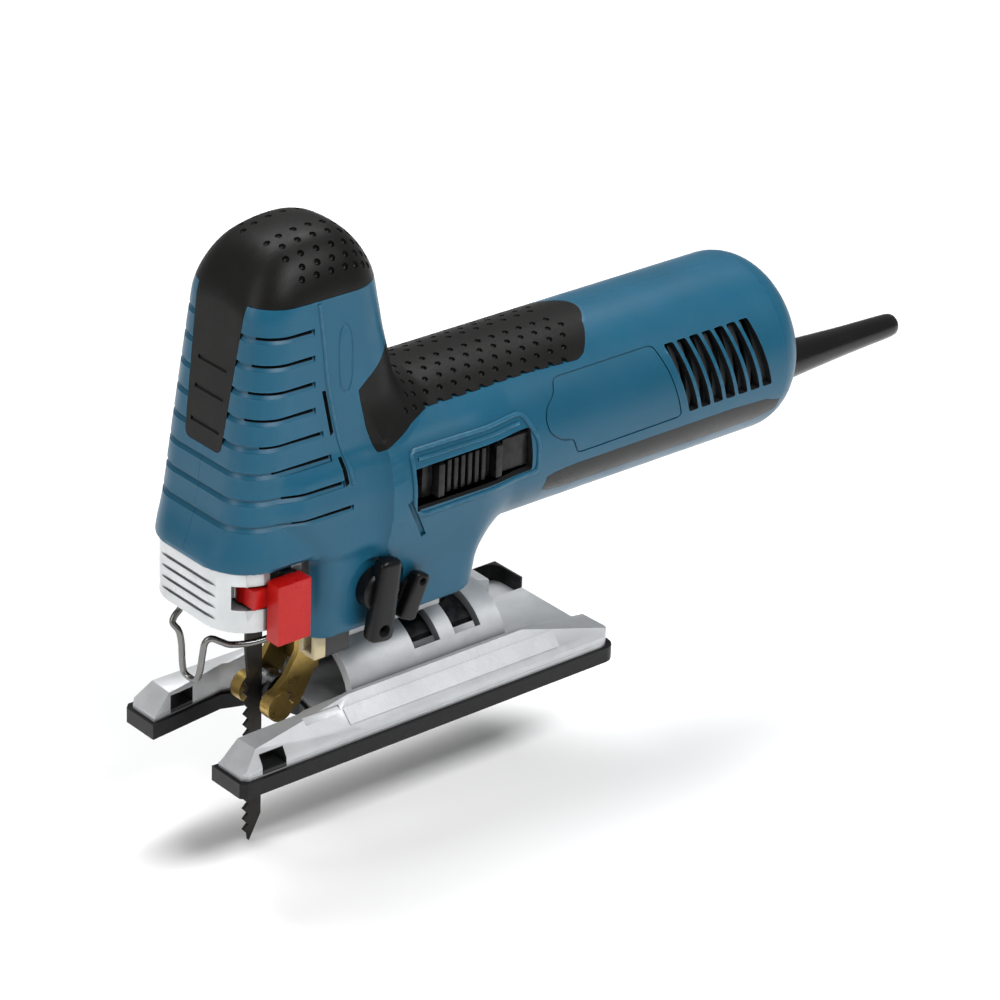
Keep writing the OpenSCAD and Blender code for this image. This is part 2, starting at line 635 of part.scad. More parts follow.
module plunger() color("#c9ccce") difference() {
    union() {
        rod_z(plunger_bottom, upper_bush_z + 6 + stroke, plunger_x, 0, plunger_d / 2);
        difference() {
            box(yoke_x, [-yoke_hw, yoke_hw], [yoke_z - 9, yoke_z + 9]);
            box([yoke_x[0] - 1, yoke_x[1] + 1], [-yoke_hw + 2, yoke_hw - 2],
                [yoke_z - slider_h / 2 + 1.45, yoke_z + slider_h / 2 - 1.45]);
        }
        box([plunger_x, yoke_x[0] + 1], [-3.5, 3.5], [yoke_z - 9, yoke_z - slider_h / 2 + 1.4]);
        box([plunger_x, yoke_x[0] + 1], [-3.5, 3.5], [yoke_z + slider_h / 2 - 1.4, yoke_z + 9]);
    }
    rod_z(plunger_bottom - 1, plunger_bottom + 14, plunger_x, 0, clamp_stem_r);
}
yoke_hw = crank_r + slider_w / 2 + 2.1;
clamp_stem_r = 3.4;
blade_tip_z = -40;
blade_top_z = blade_tip_z + blade_out;
plunger_bottom = blade_top_z + 17;
bush_len = 9;
upper_bush_z = yoke_z + 10;
lower_bush_z = plunger_bottom + 5.5;
bush_r = plunger_d / 2 + 2;
module plunger_bushes() color("#b58a45") for (z = [lower_bush_z, upper_bush_z]) difference() {
    rod_z(z, z + bush_len, plunger_x, 0, bush_r);
    rod_z(z - 1, z + bush_len + 1, plunger_x, 0, plunger_d / 2 + run_fit);
}
frame_front = plunger_x - bush_r - 2;
module rocker_frame() color("#86898c") difference() {
    union() {
        box([frame_front, frame_front + 2.6], [-8.5, 8.5], [lower_bush_z, rocker_z + 4]);
        for (z = [lower_bush_z, upper_bush_z])
            box([frame_front, plunger_x + bush_r + 1.6], [-8.5, 8.5], [z, z + bush_len]);
        box([frame_front, plunger_x + 8], [-8.5, 8.5], [rocker_z - 4, rocker_z + 4]);
    }
    rod_z(rocker_z - 5, rocker_z + 5, plunger_x, 0, plunger_d / 2 + 0.6);
    for (z = [lower_bush_z, upper_bush_z]) rod_z(z - 1, z + bush_len + 1, plunger_x, 0, bush_r);
    rod_y(-20, 20, plunger_x, rocker_z, 2.5 + run_fit);
}
module rocker_pins() color("#c4c7c9") for (s = [-1, 1])
    rod_y(s > 0 ? 6.2 : -13, s > 0 ? 13 : -6.2, plunger_x, rocker_z, 2.5);
weight_throw = 4;
ecc_r = axle_r + weight_throw + 1;
weight_x = [wheel_x + wheel_t / 2 + 0.6, plate_x - 0.6];
weight_hw = case_hw - 2;
module counterweight() color("#74777a") difference() {
    box(weight_x, [-weight_hw, weight_hw], [motor_z - 21.5, wheel_z + 3]);
    box([-60, 0], [-ecc_r - weight_throw - 0.3, ecc_r + weight_throw + 0.3], [motor_z - 13, wheel_z + 60]);
}

// ---------- blade and its guides ----------
module blade_clamp() color("#4b4e51") difference() {
    union() {
        rod_z(blade_top_z + 0.3, plunger_bottom - 0.2, plunger_x, 0, 8.2);
        rod_z(plunger_bottom - 0.2, plunger_bottom + 12, plunger_x, 0, clamp_stem_r);
    }
    box([plunger_x - 3.2, plunger_x + 3.2], [-blade_t / 2 - 0.05, blade_t / 2 + 0.05],
        [blade_top_z - 3, blade_top_z + 13.05]);
}
module saw_blade() color("#2b2c2e") {
    teeth = floor((blade_out - 28) / tooth_pitch);
    x1 = blade_back;
    x0 = x1 - blade_w;
    translate([0, blade_t / 2, 0]) rotate([90, 0, 0]) linear_extrude(blade_t) polygon(concat(
        [[x1, blade_top_z], [x1, blade_tip_z + 9], [x0 + 2.2, blade_tip_z]],
        [for (i = [0 : teeth - 1], k = [[1.9, 0.2], [0, 0.75]])
            [x0 + k[0], blade_tip_z + 1.5 + (i + k[1]) * tooth_pitch]],
        [[x0 + 1.6, blade_tip_z + 2 + teeth * tooth_pitch], [x0 + 0.6, blade_top_z - 16],
            [x0 + 0.6, blade_top_z], [plunger_x - 3.1, blade_top_z], [plunger_x - 3.1, blade_top_z + 13],
            [plunger_x + 3.1, blade_top_z + 13], [plunger_x + 3.1, blade_top_z]]));
}
cheek_in = 5.6;
cheek_out = 8;
lobe_out = 10.4;
module guide_fork() color("#c2a14d") difference() {
    union() {
        for (s = [-1, 1]) {
            // Upper cheek, from the pin to the roller
            along_y(s > 0 ? cheek_in : -cheek_out, s > 0 ? cheek_out : -cheek_in) polygon([
                [fork_pivot[0] - 4.5, fork_pivot[1] - 6.2], [-30, 33], [-31, 24], [-38, 11], [-44, 8.6],
                [-50, 8.6], [-52, 12], [-50, 17], [-44, 22], [-39, 30], [-38.5, fork_pivot[1] - 6.2]]);
            // Rounded lobe beside the blade
            rod_y(s > 0 ? cheek_in : -lobe_out, s > 0 ? lobe_out : -cheek_in, -47.6, 13.4, 5.2);
            rod_y(s > 0 ? cheek_in - 0.6 : -cheek_out + 2.4, s > 0 ? cheek_out - 2.4 : -cheek_in + 0.6,
                fork_pivot[0], fork_pivot[1], 4.4);
            box([fork_pivot[0] - 4.4, fork_pivot[0] + 3], s > 0 ? [cheek_in - 0.6, cheek_out - 2.4]
                : [-cheek_out + 2.4, -cheek_in + 0.6], [30, fork_pivot[1]]);
        }
        // Web across the rear
        box([-34, -30.5], [-cheek_out, cheek_out], [22, 33]);
    }
    rod_y(-20, 20, fork_pivot[0], fork_pivot[1], 2.5 + run_fit);
    rod_y(-20, 20, roller_x, roller_z, 1.6);
}
module fork_pin() color("#b9bcc0") rod_y(-10.5, 10.5, fork_pivot[0], fork_pivot[1], 2.5);
module roller_pin() color("#b9bcc0") rod_y(-cheek_out, cheek_out, roller_x, roller_z, 1.6);
module guide_roller() color("#3b3d40") translate([roller_x, 0, roller_z]) rotate([90, 0, 0])
    rotate_extrude() polygon([[1.6 + run_fit, -4], [roller_r + 1, -4], [roller_r + 1, -2],
        [roller_r, -1.2], [roller_r, 1.2], [roller_r + 1, 2], [roller_r + 1, 4], [1.6 + run_fit, 4]]);

// ---------- front guard, wire, lever ----------
guard_top = collar_z - seat_gap;
guard_low = 54;
guard_front = -78.3;
guard_hw = 25;
module guard_outline(d) {
    polygon(concat(arc_pts(guard_front + 15 + d, guard_hw - 15, 15 - d, 90, 8),
        arc_pts(guard_front + 15 + d, -guard_hw + 15, 15 - d, 180, 8),
        [[neck_front - seat_gap, -guard_hw + d], [neck_front - seat_gap, guard_hw - d]]));
}
module front_guard() color("#c9cccd") difference() {
    union() {
        difference() {
            translate([0, 0, guard_low]) linear_extrude(guard_top - guard_low) guard_outline(0);
            translate([0, 0, guard_low - 1]) linear_extrude(guard_top - guard_low + 2) guard_room();
        }
        // Lugs of the lever's hinge pin
        for (z = [[59, 62.4], [70.2, guard_top]]) box([-71.5, -64], [-guard_hw + 2, -13.4], z);
    }
    rod_z(50, 80, lever_pin[0], lever_pin[1], 2);
    // Grooves across the front
    for (i = [0 : 3]) box([-90, guard_front + 0.8], [-16, 16], [guard_low + 3.4 + 4 * i, guard_low + 4.6 + 4 * i]);
    // Window of the release lever, on the left
    box([-75, -40], [-40, -15], [62, 70.5]);
    box([-64, -40], [-40, -15], [guard_low - 1, guard_top + 1]);
    // Passages of the guard wire
    for (s = [-1, 1]) rod_z(guard_low - 1, guard_low + 7, -75, s * 7.5, 1.15 + seat_gap);
}
module guard_room() {
    polygon(concat(arc_pts(guard_front + 15 + 2.6, guard_hw - 15, 12.4, 90, 8),
        arc_pts(guard_front + 15 + 2.6, -guard_hw + 15, 12.4, 180, 8), [[-40, -guard_hw + 2.6], [-40, guard_hw - 2.6]]));
}
wire_r = 1.1;
wire_path = [[-75, 7.5, 60], [-75, 7.5, 51], [-79, 7.5, 48], [-77, 5, 44], [-76.5, 4.6, 31], [-75.5, 2.5, 28.5],
    [-75.5, -0.5, 28.5], [-75, -2.6, 31], [-73.5, -3.4, 43], [-72, -5, 45], [-68, -7, 42], [-58, -9.4, 40.5],
    [-44, -10.2, 41.5], [-39, -12.2, 44], [-39, -12.2, 48]];
// The path with its corners rounded, and a ring of points round each place on it
function unit(v) = v / norm(v);
function corner(a, p, b) = let (da = min(2.4, norm(p - a) * 0.45), db = min(2.4, norm(b - p) * 0.45),
    q = p + unit(a - p) * da, w = p + unit(b - p) * db) [q, (q + 2 * p + w) / 4, w];
wire_line = [wire_path[0], for (i = [1 : len(wire_path) - 2])
    each corner(wire_path[i - 1], wire_path[i], wire_path[i + 1]), wire_path[len(wire_path) - 1]];
wire_last = len(wire_line) - 1;
wire_dir = [for (i = [0 : wire_last]) unit(wire_line[min(i + 1, wire_last)] - wire_line[max(i - 1, 0)])];
function wire_side(i) = i == 0 ? [1, 0, 0] : let (m = wire_side(i - 1)) unit(m - (m * wire_dir[i]) * wire_dir[i]);
wire_n = 10;
module wire_guard() color("#1d1d1f") polyhedron(
    [for (i = [0 : wire_last]) let (m = wire_side(i), b = cross(wire_dir[i], m)) for (k = [0 : wire_n - 1])
        wire_line[i] + wire_r * (cos(k * 360 / wire_n) * m + sin(k * 360 / wire_n) * b)],
    concat([[for (k = [wire_n - 1 : -1 : 0]) wire_last * wire_n + k]], [[for (k = [0 : wire_n - 1]) k]],
        [for (i = [0 : wire_last - 1], k = [0 : wire_n - 1])
            [i * wire_n + k, (i + 1) * wire_n + k, (i + 1) * wire_n + (k + 1) % wire_n, i * wire_n + (k + 1) % wire_n]]));
lever_pin = [-67, -17];
module lever_hinge_pin() color("#b9bcc0") rod_z(59, 73, lever_pin[0], lever_pin[1], 2);
module release_lever() color("#c8201c") difference() {
    union() {
        box([-70.5, -53], [-guard_hw - 0.6, -21.5], [63, 69.6]);
        box([-65.5, -52.5], [-31.5, -guard_hw - 0.5], [51, 72]);
        rod_z(63, 69.6, lever_pin[0], lever_pin[1], 4);
        box([-70.5, -64], [-22, -17], [63, 69.6]);
    }
    rod_z(40, 90, lever_pin[0], lever_pin[1], 2 + run_fit);
}

// ---------- controls ----------
knob_x = switch_front + switch_travel + free_gap;
flange_y = [-body_hw + wall + 0.15, -body_hw + wall + 1.35];
link_y = [-barrel_r + wall + 1.9, -stator_flat - 1.6];
module switch_slider() color("#1a1a1b") {
    x1 = knob_x + slider_len + 5;
    box([knob_x, x1], [-body_hw - 0.2, flange_y[1]], [84.5, 97.5]);
    box([knob_x - 3, x1 + 2.5], flange_y, [83, 99]);
    box([knob_x + 5, knob_x + 8], [-body_hw - 4.4, -body_hw + 1], [85, 97]);
    box([x1 - 12, x1 - 9], [-body_hw - 4.4, -body_hw + 1], [85, 97]);
    for (i = [0 : 5]) box([knob_x + 9.4 + 2.2 * i, knob_x + 10.7 + 2.2 * i], [-body_hw - 2.4, -body_hw + 1],
        [85.5, 96.5]);
    // Link to the switch, past the flat of the motor
    box([x1 - 4, rear_x + 16], link_y, [motor_z - 2, motor_z + 2]);
    box([x1 - 4, x1 + 2.5], [link_y[0], flange_y[1]], [motor_z - 2, motor_z + 2]);
    box([rear_x + 13, rear_x + 16], [link_y[0], -21.3], [motor_z - 2, motor_z + 2]);
}
module switch_block() color("#2a2c2e") box([rear_x + 7.5 + seat_gap, rear_x + 26], [-21, -9],
    [motor_z - 6, motor_z + 10]);
hex_r = 4.7;
module orbit_lever() color("#1b1b1c") {
    rod_y(-body_hw + 0.4 - 3.6, -foot_hw - 6, orbit_x, orbit_z, orbit_axle_r);
    rod_y(-body_hw - 2.6, -body_hw + 0.8, orbit_x, orbit_z, 7.5);
    translate([orbit_x, 0, orbit_z]) rotate([0, 8, 0]) {
        translate([-hex_r, -body_hw - 7.6, -orbit_len]) cube([2 * hex_r, 5.6, orbit_len + 12]);
    }
}
module blower_lever() color("#1b1b1c") {
    rod_y(-body_hw - 2, -foot_hw - 4, blow_x, blow_z, blow_axle_r);
    translate([blow_x, 0, blow_z]) rotate([0, 25, 0]) translate([-3.4, -body_hw - 5.6, -9]) cube([6.8, 5, 16]);
}
module speed_dial() color("#242628") difference() {
    rod_y(-3.4, 3.4, dial_x, dial_z, 12);
    rod_y(-5, 5, dial_x, dial_z, 2 + run_fit);
}
module speed_module() color("#2f6b4f") {
    box([rear_x + 12, dial_x - 14], [-6, 6.5], [motor_z - 6, motor_z + 16]);
    rod_y(-6, 6, dial_x, dial_z, 2);
    for (s = [-1, 1]) box([dial_x - 15, dial_x + 3], s > 0 ? [3.8, 6] : [-6, -3.8], [dial_z - 2.5, dial_z + 2.5]);
}
module blower_duct() color("#151617") difference() {
    box([-43, -28.4], [-21.6, -13.6], [34, 52]);
    box([-60, -31], [-19.6, -15.6], [36, 44]);
}

// ---------- base ----------
module sole_outline(d) {
    difference() {
        polygon(concat(arc_pts(half_len - 5 - d, half_w - 5 - d, 5, 0, 6),
            [[-half_len + 2 + d, half_w - d], [-half_len + d, half_w - 2 - d], [-half_len + d, -half_w + 2 + d],
            [-half_len + 2 + d, -half_w + d]],
            arc_pts(half_len - 5 - d, -half_w + 5 + d, 5, 270, 6)));
        slot_outline(d);
    }
}
module slot_outline(d) {
    x1 = -half_len + slot_len;
    polygon([[-half_len - 5, prong_gap / 2 + d], [-half_len + 18, prong_gap / 2 + d + 2.5],
        [x1 - 6 + d, slot_gap / 2 + d], [x1 + 8 + d, slot_gap / 2 + d - 5], [x1 + 12 + d, 0],
        [x1 + 8 + d, -slot_gap / 2 - d + 5], [x1 - 6 + d, -slot_gap / 2 - d],
        [-half_len + 18, -prong_gap / 2 - d - 2.5], [-half_len - 5, -prong_gap / 2 - d]]);
}
module slide_shoe() color("#1c1c1d") difference() {
    union() {
        linear_extrude(shoe_t) sole_outline(0);
        // Rear clip over the right-hand corner
        box([half_len - 14, half_len - 0.5], [half_w - 16, half_w - 1], [shoe_t - 1, shoe_t + 5]);
    }
    translate([0, 0, 2.4]) linear_extrude(20) sole_outline(1.5 - seat_gap);
    box([10, half_len - 26], [-12, 12], [-1, 10]);
}
// Half width of the slot at a place along the base
function slot_hw(x) = lookup(x, [[-half_len - 5, prong_gap / 2], [-half_len + 18, prong_gap / 2 + 2.5],
    [-half_len + slot_len - 6, slot_gap / 2]]);
module rail(s) {
    nose = -half_len + 1.6;
    brow = -half_len + 8.4;
    mid = -half_len + 50;
    tail = half_len - 35;
    end = half_len - 1.7;
    hull() {
        rail_slice(nose, s, slot_hw(nose) + 1.6, rail_y, rail_y, shoe_t + 1.6);
        rail_slice(brow, s, slot_hw(brow) + 1.7, rail_y, rail_y - 3.2, nose_h);
    }
    hull() {
        rail_slice(brow, s, slot_hw(brow) + 1.7, rail_y, rail_y - 3.2, nose_h);
        rail_slice(mid, s, ridge_y + 1.6, rail_y, ridge_y + 3.4, ridge_h);
    }
    translate([mid, 0, 0]) rail_section(tail - mid, s, ridge_y + 1.3, rail_y, ridge_y + 3.4, ridge_h);
    hull() {
        rail_slice(tail, s, ridge_y + 1.3, rail_y, ridge_y + 3.4, ridge_h);
        rail_slice(end, s, 16.4, rail_y, rail_y - 1.5, shoe_t + 5.6);
    }
}
module rail_section(len, s, yin, yout, ytop, z) {
    along_x(0, len) polygon([[s * yin, shoe_t - 1], [s * yout, shoe_t - 1], [s * yout, shoe_t + 3.6],
        [s * ytop, z], [s * yin, z - 0.4]]);
}
module rail_slice(x, s, yin, yout, ytop, z) {
    translate([x, 0, 0]) rail_section(eps, s, yin, yout, ytop, z);
}
module base_plate() color("#c4c7c8") difference() {
    union() {
        translate([0, 0, 2.4]) linear_extrude(deck_z - 2.4) sole_outline(1.5);
        intersection() {
            for (s = [-1, 1]) rail(s);
            linear_extrude(40) sole_outline(1.5);
        }
        difference() {
            rod_x(hump_front, hump_rear, 0, bevel_z, hump_r);
            box([-60, 60], [-40, 40], [-20, deck_z - 0.1]);
        }
    }
    // Inside of the hump, open from end to end
    difference() {
        rod_x(hump_front - 5, hump_rear + 5, 0, bevel_z, hump_r - hump_wall);
        box([-60, 60], [-40, 40], [-20, deck_z]);
    }
    // Arc slots for the clamp screws
    for (x = screw_x) intersection() {
        rod_x(x - slot_w / 2, x + slot_w / 2, 0, bevel_z, hump_r + 5);
        along_x(-60, 60) polygon([[0, bevel_z], [60 * sin(slot_angle), bevel_z + 60 * cos(slot_angle)],
            [0, bevel_z + 90], [-60 * sin(slot_angle), bevel_z + 60 * cos(slot_angle)]]);
    }
    // Slots for the guide rod of a parallel fence
    box(window_x, [-60, 60], window_z);
    // Pocket beside the slot
    for (s = [-1, 1]) translate([-half_len + 30, s * 29, nose_h - 1.5]) rotate([s * -35, 0, 0])
        translate([0, s * -3, 0]) cube([15, 3, 6]);
    // Relief for the rear clip of the shoe
    box([half_len - 15, half_len + 1], [half_w - 17, half_w + 1], [shoe_t - 1.1, 40]);
}
clamp_len = [screw_x[0] - 12, screw_x[1] + 12];
module bevel_clamp() color("#8d9194") difference() {
    intersection() {
        rod_x(clamp_len[0], clamp_len[1], 0, bevel_z, hump_r - hump_wall - seat_gap);
        box([-60, 60], [-11, 11], [bevel_z + hump_r - hump_wall - 6.4, 60]);
    }
    for (x = screw_x) rod_z(0, 60, x, 0, clamp_screw_d / 2 + 0.2);
}
module clamp_screws() color("#6e7174") for (x = screw_x) difference() {
    union() {
        rod_z(bevel_z + hump_r - hump_wall - 6.4, 43, x, 0, clamp_screw_d / 2);
        rod_z(bevel_z + hump_r - hump_wall - 10.4, bevel_z + hump_r - hump_wall - 6.4, x, 0, 4.6);
    }
    rod_z(0, bevel_z + hump_r - hump_wall - 8, x, 0, 2.1, $fn = 6);
}

housing_left();
housing_right();
tower_cap();
saddle_grip();
side_strips();
housing_screws();
vent_screens();
cord_sleeve();
cord_clamp();
cord_clamp_screws();
armature_shaft();
armature_core();
commutator();
motor_pinion();
cooling_fan();
stator_core();
field_coils();
front_bearing();
rear_bearing();
bearing_bridge();
brush_holders();
carbon_brushes();
brush_springs();
gear_case();
gear_wheel();
gear_axle();
crank_pin();
crank_slider();
counterweight();
rocker_frame();
rocker_pins();
plunger_bushes();
plunger();
blade_clamp();
saw_blade();
guide_fork();
fork_pin();
guide_roller();
roller_pin();
front_guard();
wire_guard();
lever_hinge_pin();
release_lever();
switch_slider();
switch_block();
orbit_lever();
blower_lever();
speed_dial();
speed_module();
blower_duct();
base_plate();
slide_shoe();
bevel_clamp();
clamp_screws();
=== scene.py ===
"""Looks of the barrel-grip jigsaw. Shapes are worked out in millimetres and stored in metres."""
import json
import math
import bpy
import bmesh
import numpy as np
from mathutils import Matrix, Vector


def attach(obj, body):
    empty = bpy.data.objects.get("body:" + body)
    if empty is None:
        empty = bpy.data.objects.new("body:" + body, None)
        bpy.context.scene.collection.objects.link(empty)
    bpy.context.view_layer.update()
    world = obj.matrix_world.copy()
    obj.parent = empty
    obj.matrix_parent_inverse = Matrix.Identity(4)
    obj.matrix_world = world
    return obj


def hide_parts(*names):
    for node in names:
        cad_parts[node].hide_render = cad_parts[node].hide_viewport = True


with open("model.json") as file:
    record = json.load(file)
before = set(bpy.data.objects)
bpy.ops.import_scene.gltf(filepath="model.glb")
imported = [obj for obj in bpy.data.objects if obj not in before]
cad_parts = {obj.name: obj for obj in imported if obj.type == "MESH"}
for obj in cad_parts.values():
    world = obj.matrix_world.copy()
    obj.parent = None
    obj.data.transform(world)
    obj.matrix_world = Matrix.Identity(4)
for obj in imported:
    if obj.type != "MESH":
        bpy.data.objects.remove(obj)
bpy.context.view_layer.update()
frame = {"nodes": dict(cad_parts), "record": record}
MM = 0.001

# ---------- shader maths ----------


class Value:
    """A socket of a material, with arithmetic that adds its Math nodes."""

    def __init__(self, net, socket):
        self.net, self.socket = net, socket

    def math(self, kind, a, b):
        return self.net.add("ShaderNodeMath", {"operation": kind}, {0: a, 1: b})

    def __add__(self, o): return self.math("ADD", self, o)
    def __radd__(self, o): return self.math("ADD", o, self)
    def __sub__(self, o): return self.math("SUBTRACT", self, o)
    def __rsub__(self, o): return self.math("SUBTRACT", o, self)
    def __mul__(self, o): return self.math("MULTIPLY", self, o)
    def __rmul__(self, o): return self.math("MULTIPLY", o, self)
    def over(self, o): return self.math("GREATER_THAN", self, o)


class Finish:
    """A procedural material."""

    def __init__(self, name):
        self.mat = bpy.data.materials.new(name)
        self.mat.use_nodes = True
        self.tree = self.mat.node_tree
        self.tree.nodes.clear()
        self.place = self.add("ShaderNodeTexCoord", out="Object")

    def add(self, kind, settings=None, inputs=None, out=0):
        """Any node: its settings first, then the values or links of its sockets."""
        node = self.tree.nodes.new(kind)
        for key, value in (settings or {}).items():
            setattr(node, key, value)
        for key, value in (inputs or {}).items():
            if isinstance(value, Value):
                self.tree.links.new(value.socket, node.inputs[key])
            else:
                node.inputs[key].default_value = value
        return Value(self, node.outputs[out])

    def noise(self, scale, detail=3.0, rough=0.5, stretch=None):
        place = self.place
        if stretch:
            place = self.add("ShaderNodeMapping", None, {"Vector": place, "Scale": stretch})
        return self.add("ShaderNodeTexNoise", None,
                        {"Vector": place, "Scale": scale, "Detail": detail, "Roughness": rough})

    def ramp(self, value, low, high, a=0.0, b=1.0):
        """Value carried from the range low to high onto a to b, and held there."""
        return self.add("ShaderNodeMapRange", {"clamp": True},
                        {"Value": value, "From Min": low, "From Max": high, "To Min": a, "To Max": b})

    def mix(self, share, a, b):
        """Colour a where share is 0 and b where it is 1."""
        node = self.tree.nodes.new("ShaderNodeMix")
        node.data_type = "RGBA"
        for key, value in ((0, share), (6, a), (7, b)):
            if isinstance(value, Value):
                self.tree.links.new(value.socket, node.inputs[key])
            else:
                node.inputs[key].default_value = value
        return Value(self, node.outputs[2])

    def edges(self, low=0.52, high=0.62):
        """Share of wear on convex edges."""
        return self.ramp(self.add("ShaderNodeNewGeometry", out="Pointiness"), low, high)

    def crevice(self, reach):
        """Share of painted shade in corners, from how closed in the surface is."""
        open_share = self.add("ShaderNodeAmbientOcclusion", {"samples": 8}, {"Distance": reach}, out="AO")
        return self.ramp(open_share, 0.25, 0.85, 1.0, 0.0)

    def within(self, *spans):
        """1 inside a box given as (axis, low, high) in metres, else 0."""
        axes = self.add("ShaderNodeSeparateXYZ", None, {0: self.place}).socket.node.outputs
        share = 1.0
        for axis, low, high in spans:
            v = Value(self, axes["XYZ".index(axis)])
            share = (v.over(low) - v.over(high)) * share
        return share

    def done(self, colour, roughness, height, depth, constants=None, metallic=None):
        """Joins the signals to the shader; height is the relief's signal and depth its size in metres."""
        inputs = {"Base Color": colour, "Roughness": roughness}
        if metallic is not None:
            inputs["Metallic"] = metallic
        inputs["Normal"] = self.add("ShaderNodeBump", None,
                                    {"Height": height, "Distance": depth, "Strength": 1.0}, out="Normal")
        inputs.update(constants or {})
        shader = self.add("ShaderNodeBsdfPrincipled", None, inputs)
        node = self.tree.nodes.new("ShaderNodeOutputMaterial")
        self.tree.links.new(shader.socket, node.inputs[0])
        return self.mat


def srgb(r, g, b):
    """Linear colour of a value given in the 0 to 255 display scale."""
    c = np.array([r, g, b]) / 255.0
    lin = np.where(c <= 0.04045, c / 12.92, ((c + 0.055) / 1.055) ** 2.4)
    return (*lin.tolist(), 1.0)


def shade(colour, k):
    """The colour made darker or lighter by a factor."""
    return (*[min(1.0, c * k) for c in colour[:3]], 1.0)


def moulded(name, colour, rough=0.42, grain=2600, depth=0.00003, worn=None, wear=0.0, coat=0.0, spec=0.5):
    """Moulded plastic or rubber: fine spark-eroded grain, slow drift of colour, fingers' gloss, edges rubbed lighter,
    painted shade in the corners."""
    f = Finish(name)
    slow, fine, smear = f.noise(26, 4), f.noise(grain, 2), f.noise(90, 5, 0.65)
    drift = f.mix(f.ramp(slow, 0.3, 0.7), shade(colour, 0.9), shade(colour, 1.1))
    speck_wear_and_painted_shade = f.mix(f.ramp(fine, 0.35, 0.75, 0.0, 0.35), drift, shade(colour, 0.72))
    if wear:
        speck_wear_and_painted_shade = f.mix(f.edges() * f.ramp(f.noise(420, 5), 0.35, 0.6) * wear, speck_wear_and_painted_shade, worn or shade(colour, 1.6))
    # painted shade: corners darkened towards a quarter of the colour, by how closed in they are
    speck_wear_and_painted_shade = f.mix(f.crevice(0.006) * 0.55, speck_wear_and_painted_shade, shade(colour, 0.25))
    roughness = f.ramp(smear, 0.25, 0.8, rough - 0.07, rough + 0.1)
    return f.done(speck_wear_and_painted_shade, roughness, fine + f.noise(grain * 0.35, 3) * 0.6, depth,
                  constants={"Coat Weight": coat, "Coat Roughness": 0.25, "Specular IOR Level": spec})


def cast(name, colour, rough=0.36, grain=900, depth=0.00006, metal=0.85, stain=0.35, streak=None, dark=()):
    """Cast or drawn metal: pebbly skin, darker stains, painted shade in the corners, streaks where it was brushed. The
    box named by dark is painted nearly black inside, as shade."""
    f = Finish(name)
    slow, fine = f.noise(40, 5, 0.6), f.noise(grain, 4, 0.6, streak)
    base = f.mix(f.ramp(slow, 0.3, 0.72), shade(colour, 0.84), shade(colour, 1.08))
    stains_and_painted_shade = f.mix(f.ramp(f.noise(150, 6, 0.7), 0.52, 0.75, 0.0, stain), base, shade(colour, 0.5))
    # painted shade: corners darkened towards a fifth of the colour, by how closed in they are
    stains_and_painted_shade = f.mix(f.crevice(0.008) * 0.8, stains_and_painted_shade, shade(colour, 0.18))
    # painted shade: the faces inside the dark box are coloured nearly black
    if dark:
        stains_and_painted_shade = f.mix(f.within(*dark) * 0.96, stains_and_painted_shade, shade(colour, 0.02))
    roughness = f.ramp(f.noise(220, 5, 0.7), 0.25, 0.8, rough - 0.08, rough + 0.16)
    return f.done(stains_and_painted_shade, roughness, fine, depth, metallic=metal)


# Box of the base's nose windows, whose inside is painted nearly black as shade
NOSE_WINDOW_SHADE = (("X", -0.0711, -0.0614), ("Z", 0.006, 0.01262))
petrol = moulded("petrol_shell", srgb(17, 78, 103), 0.36, 3200, 0.000018, srgb(70, 128, 154), 0.45, 0.0, 0.3)
# Near-black walls of openings and holes: painted shade
opening_shade = moulded("painted_opening_shade", srgb(13, 15, 18), 0.7, 1500, 0.00002)
soft = moulded("soft_rubber", srgb(15, 14, 13), 0.42, 2400, 0.00004, srgb(46, 45, 43), 0.3, 0.0, 0.16)
black = moulded("black_nylon", srgb(10, 10, 11), 0.3, 2600, 0.00002, srgb(52, 52, 54), 0.3, 0.0, 0.22)
sleeve_black = moulded("sleeve_rubber", srgb(10, 10, 11), 0.24, 1800, 0.00001, None, 0.0, 0.1, 0.3)
shoe_black = moulded("shoe_polymer", srgb(10, 10, 11), 0.36, 1700, 0.00003, srgb(52, 52, 54), 0.3, 0.0, 0.22)
red = moulded("red_lever", srgb(166, 10, 8), 0.3, 2400, 0.00001, srgb(206, 50, 40), 0.2, 0.0, 0.25)
alloy = cast("cast_alloy", srgb(184, 186, 188), 0.4, 1100, 0.00005, 0.45, 0.18,
             dark=NOSE_WINDOW_SHADE)
guard_alloy = cast("guard_alloy", srgb(196, 199, 200), 0.32, 1400, 0.00003, 0.6, 0.12)
steel = cast("bright_steel", srgb(168, 170, 172), 0.26, 700, 0.00002, 1.0, 0.2, (1.0, 1.0, 9.0))
blade_steel = cast("blade_steel", srgb(48, 46, 44), 0.4, 800, 0.00003, 0.8, 0.5, (1.0, 1.0, 7.0))
wire_steel = cast("wire_steel", srgb(120, 120, 118), 0.22, 900, 0.00001, 1.0, 0.3)
brass = cast("yellow_zinc", srgb(176, 148, 84), 0.3, 700, 0.00003, 0.9, 0.45)
copper = cast("copper_winding", srgb(168, 92, 50), 0.35, 500, 0.00004, 0.9, 0.4, (9.0, 1.0, 1.0))
board = moulded("circuit_board", srgb(30, 84, 58), 0.5, 900, 0.00003)
dark_zinc = cast("dark_zinc", srgb(70, 70, 72), 0.38, 700, 0.00004, 0.8, 0.4)
mesh_black = moulded("screen_black", srgb(18, 22, 26), 0.5, 1200, 0.00002)
# The second material of each list paints shade on the walls of openings
SKIN = [petrol, opening_shade]
HANDLE = [black, opening_shade]

# ---------- surfaces ----------


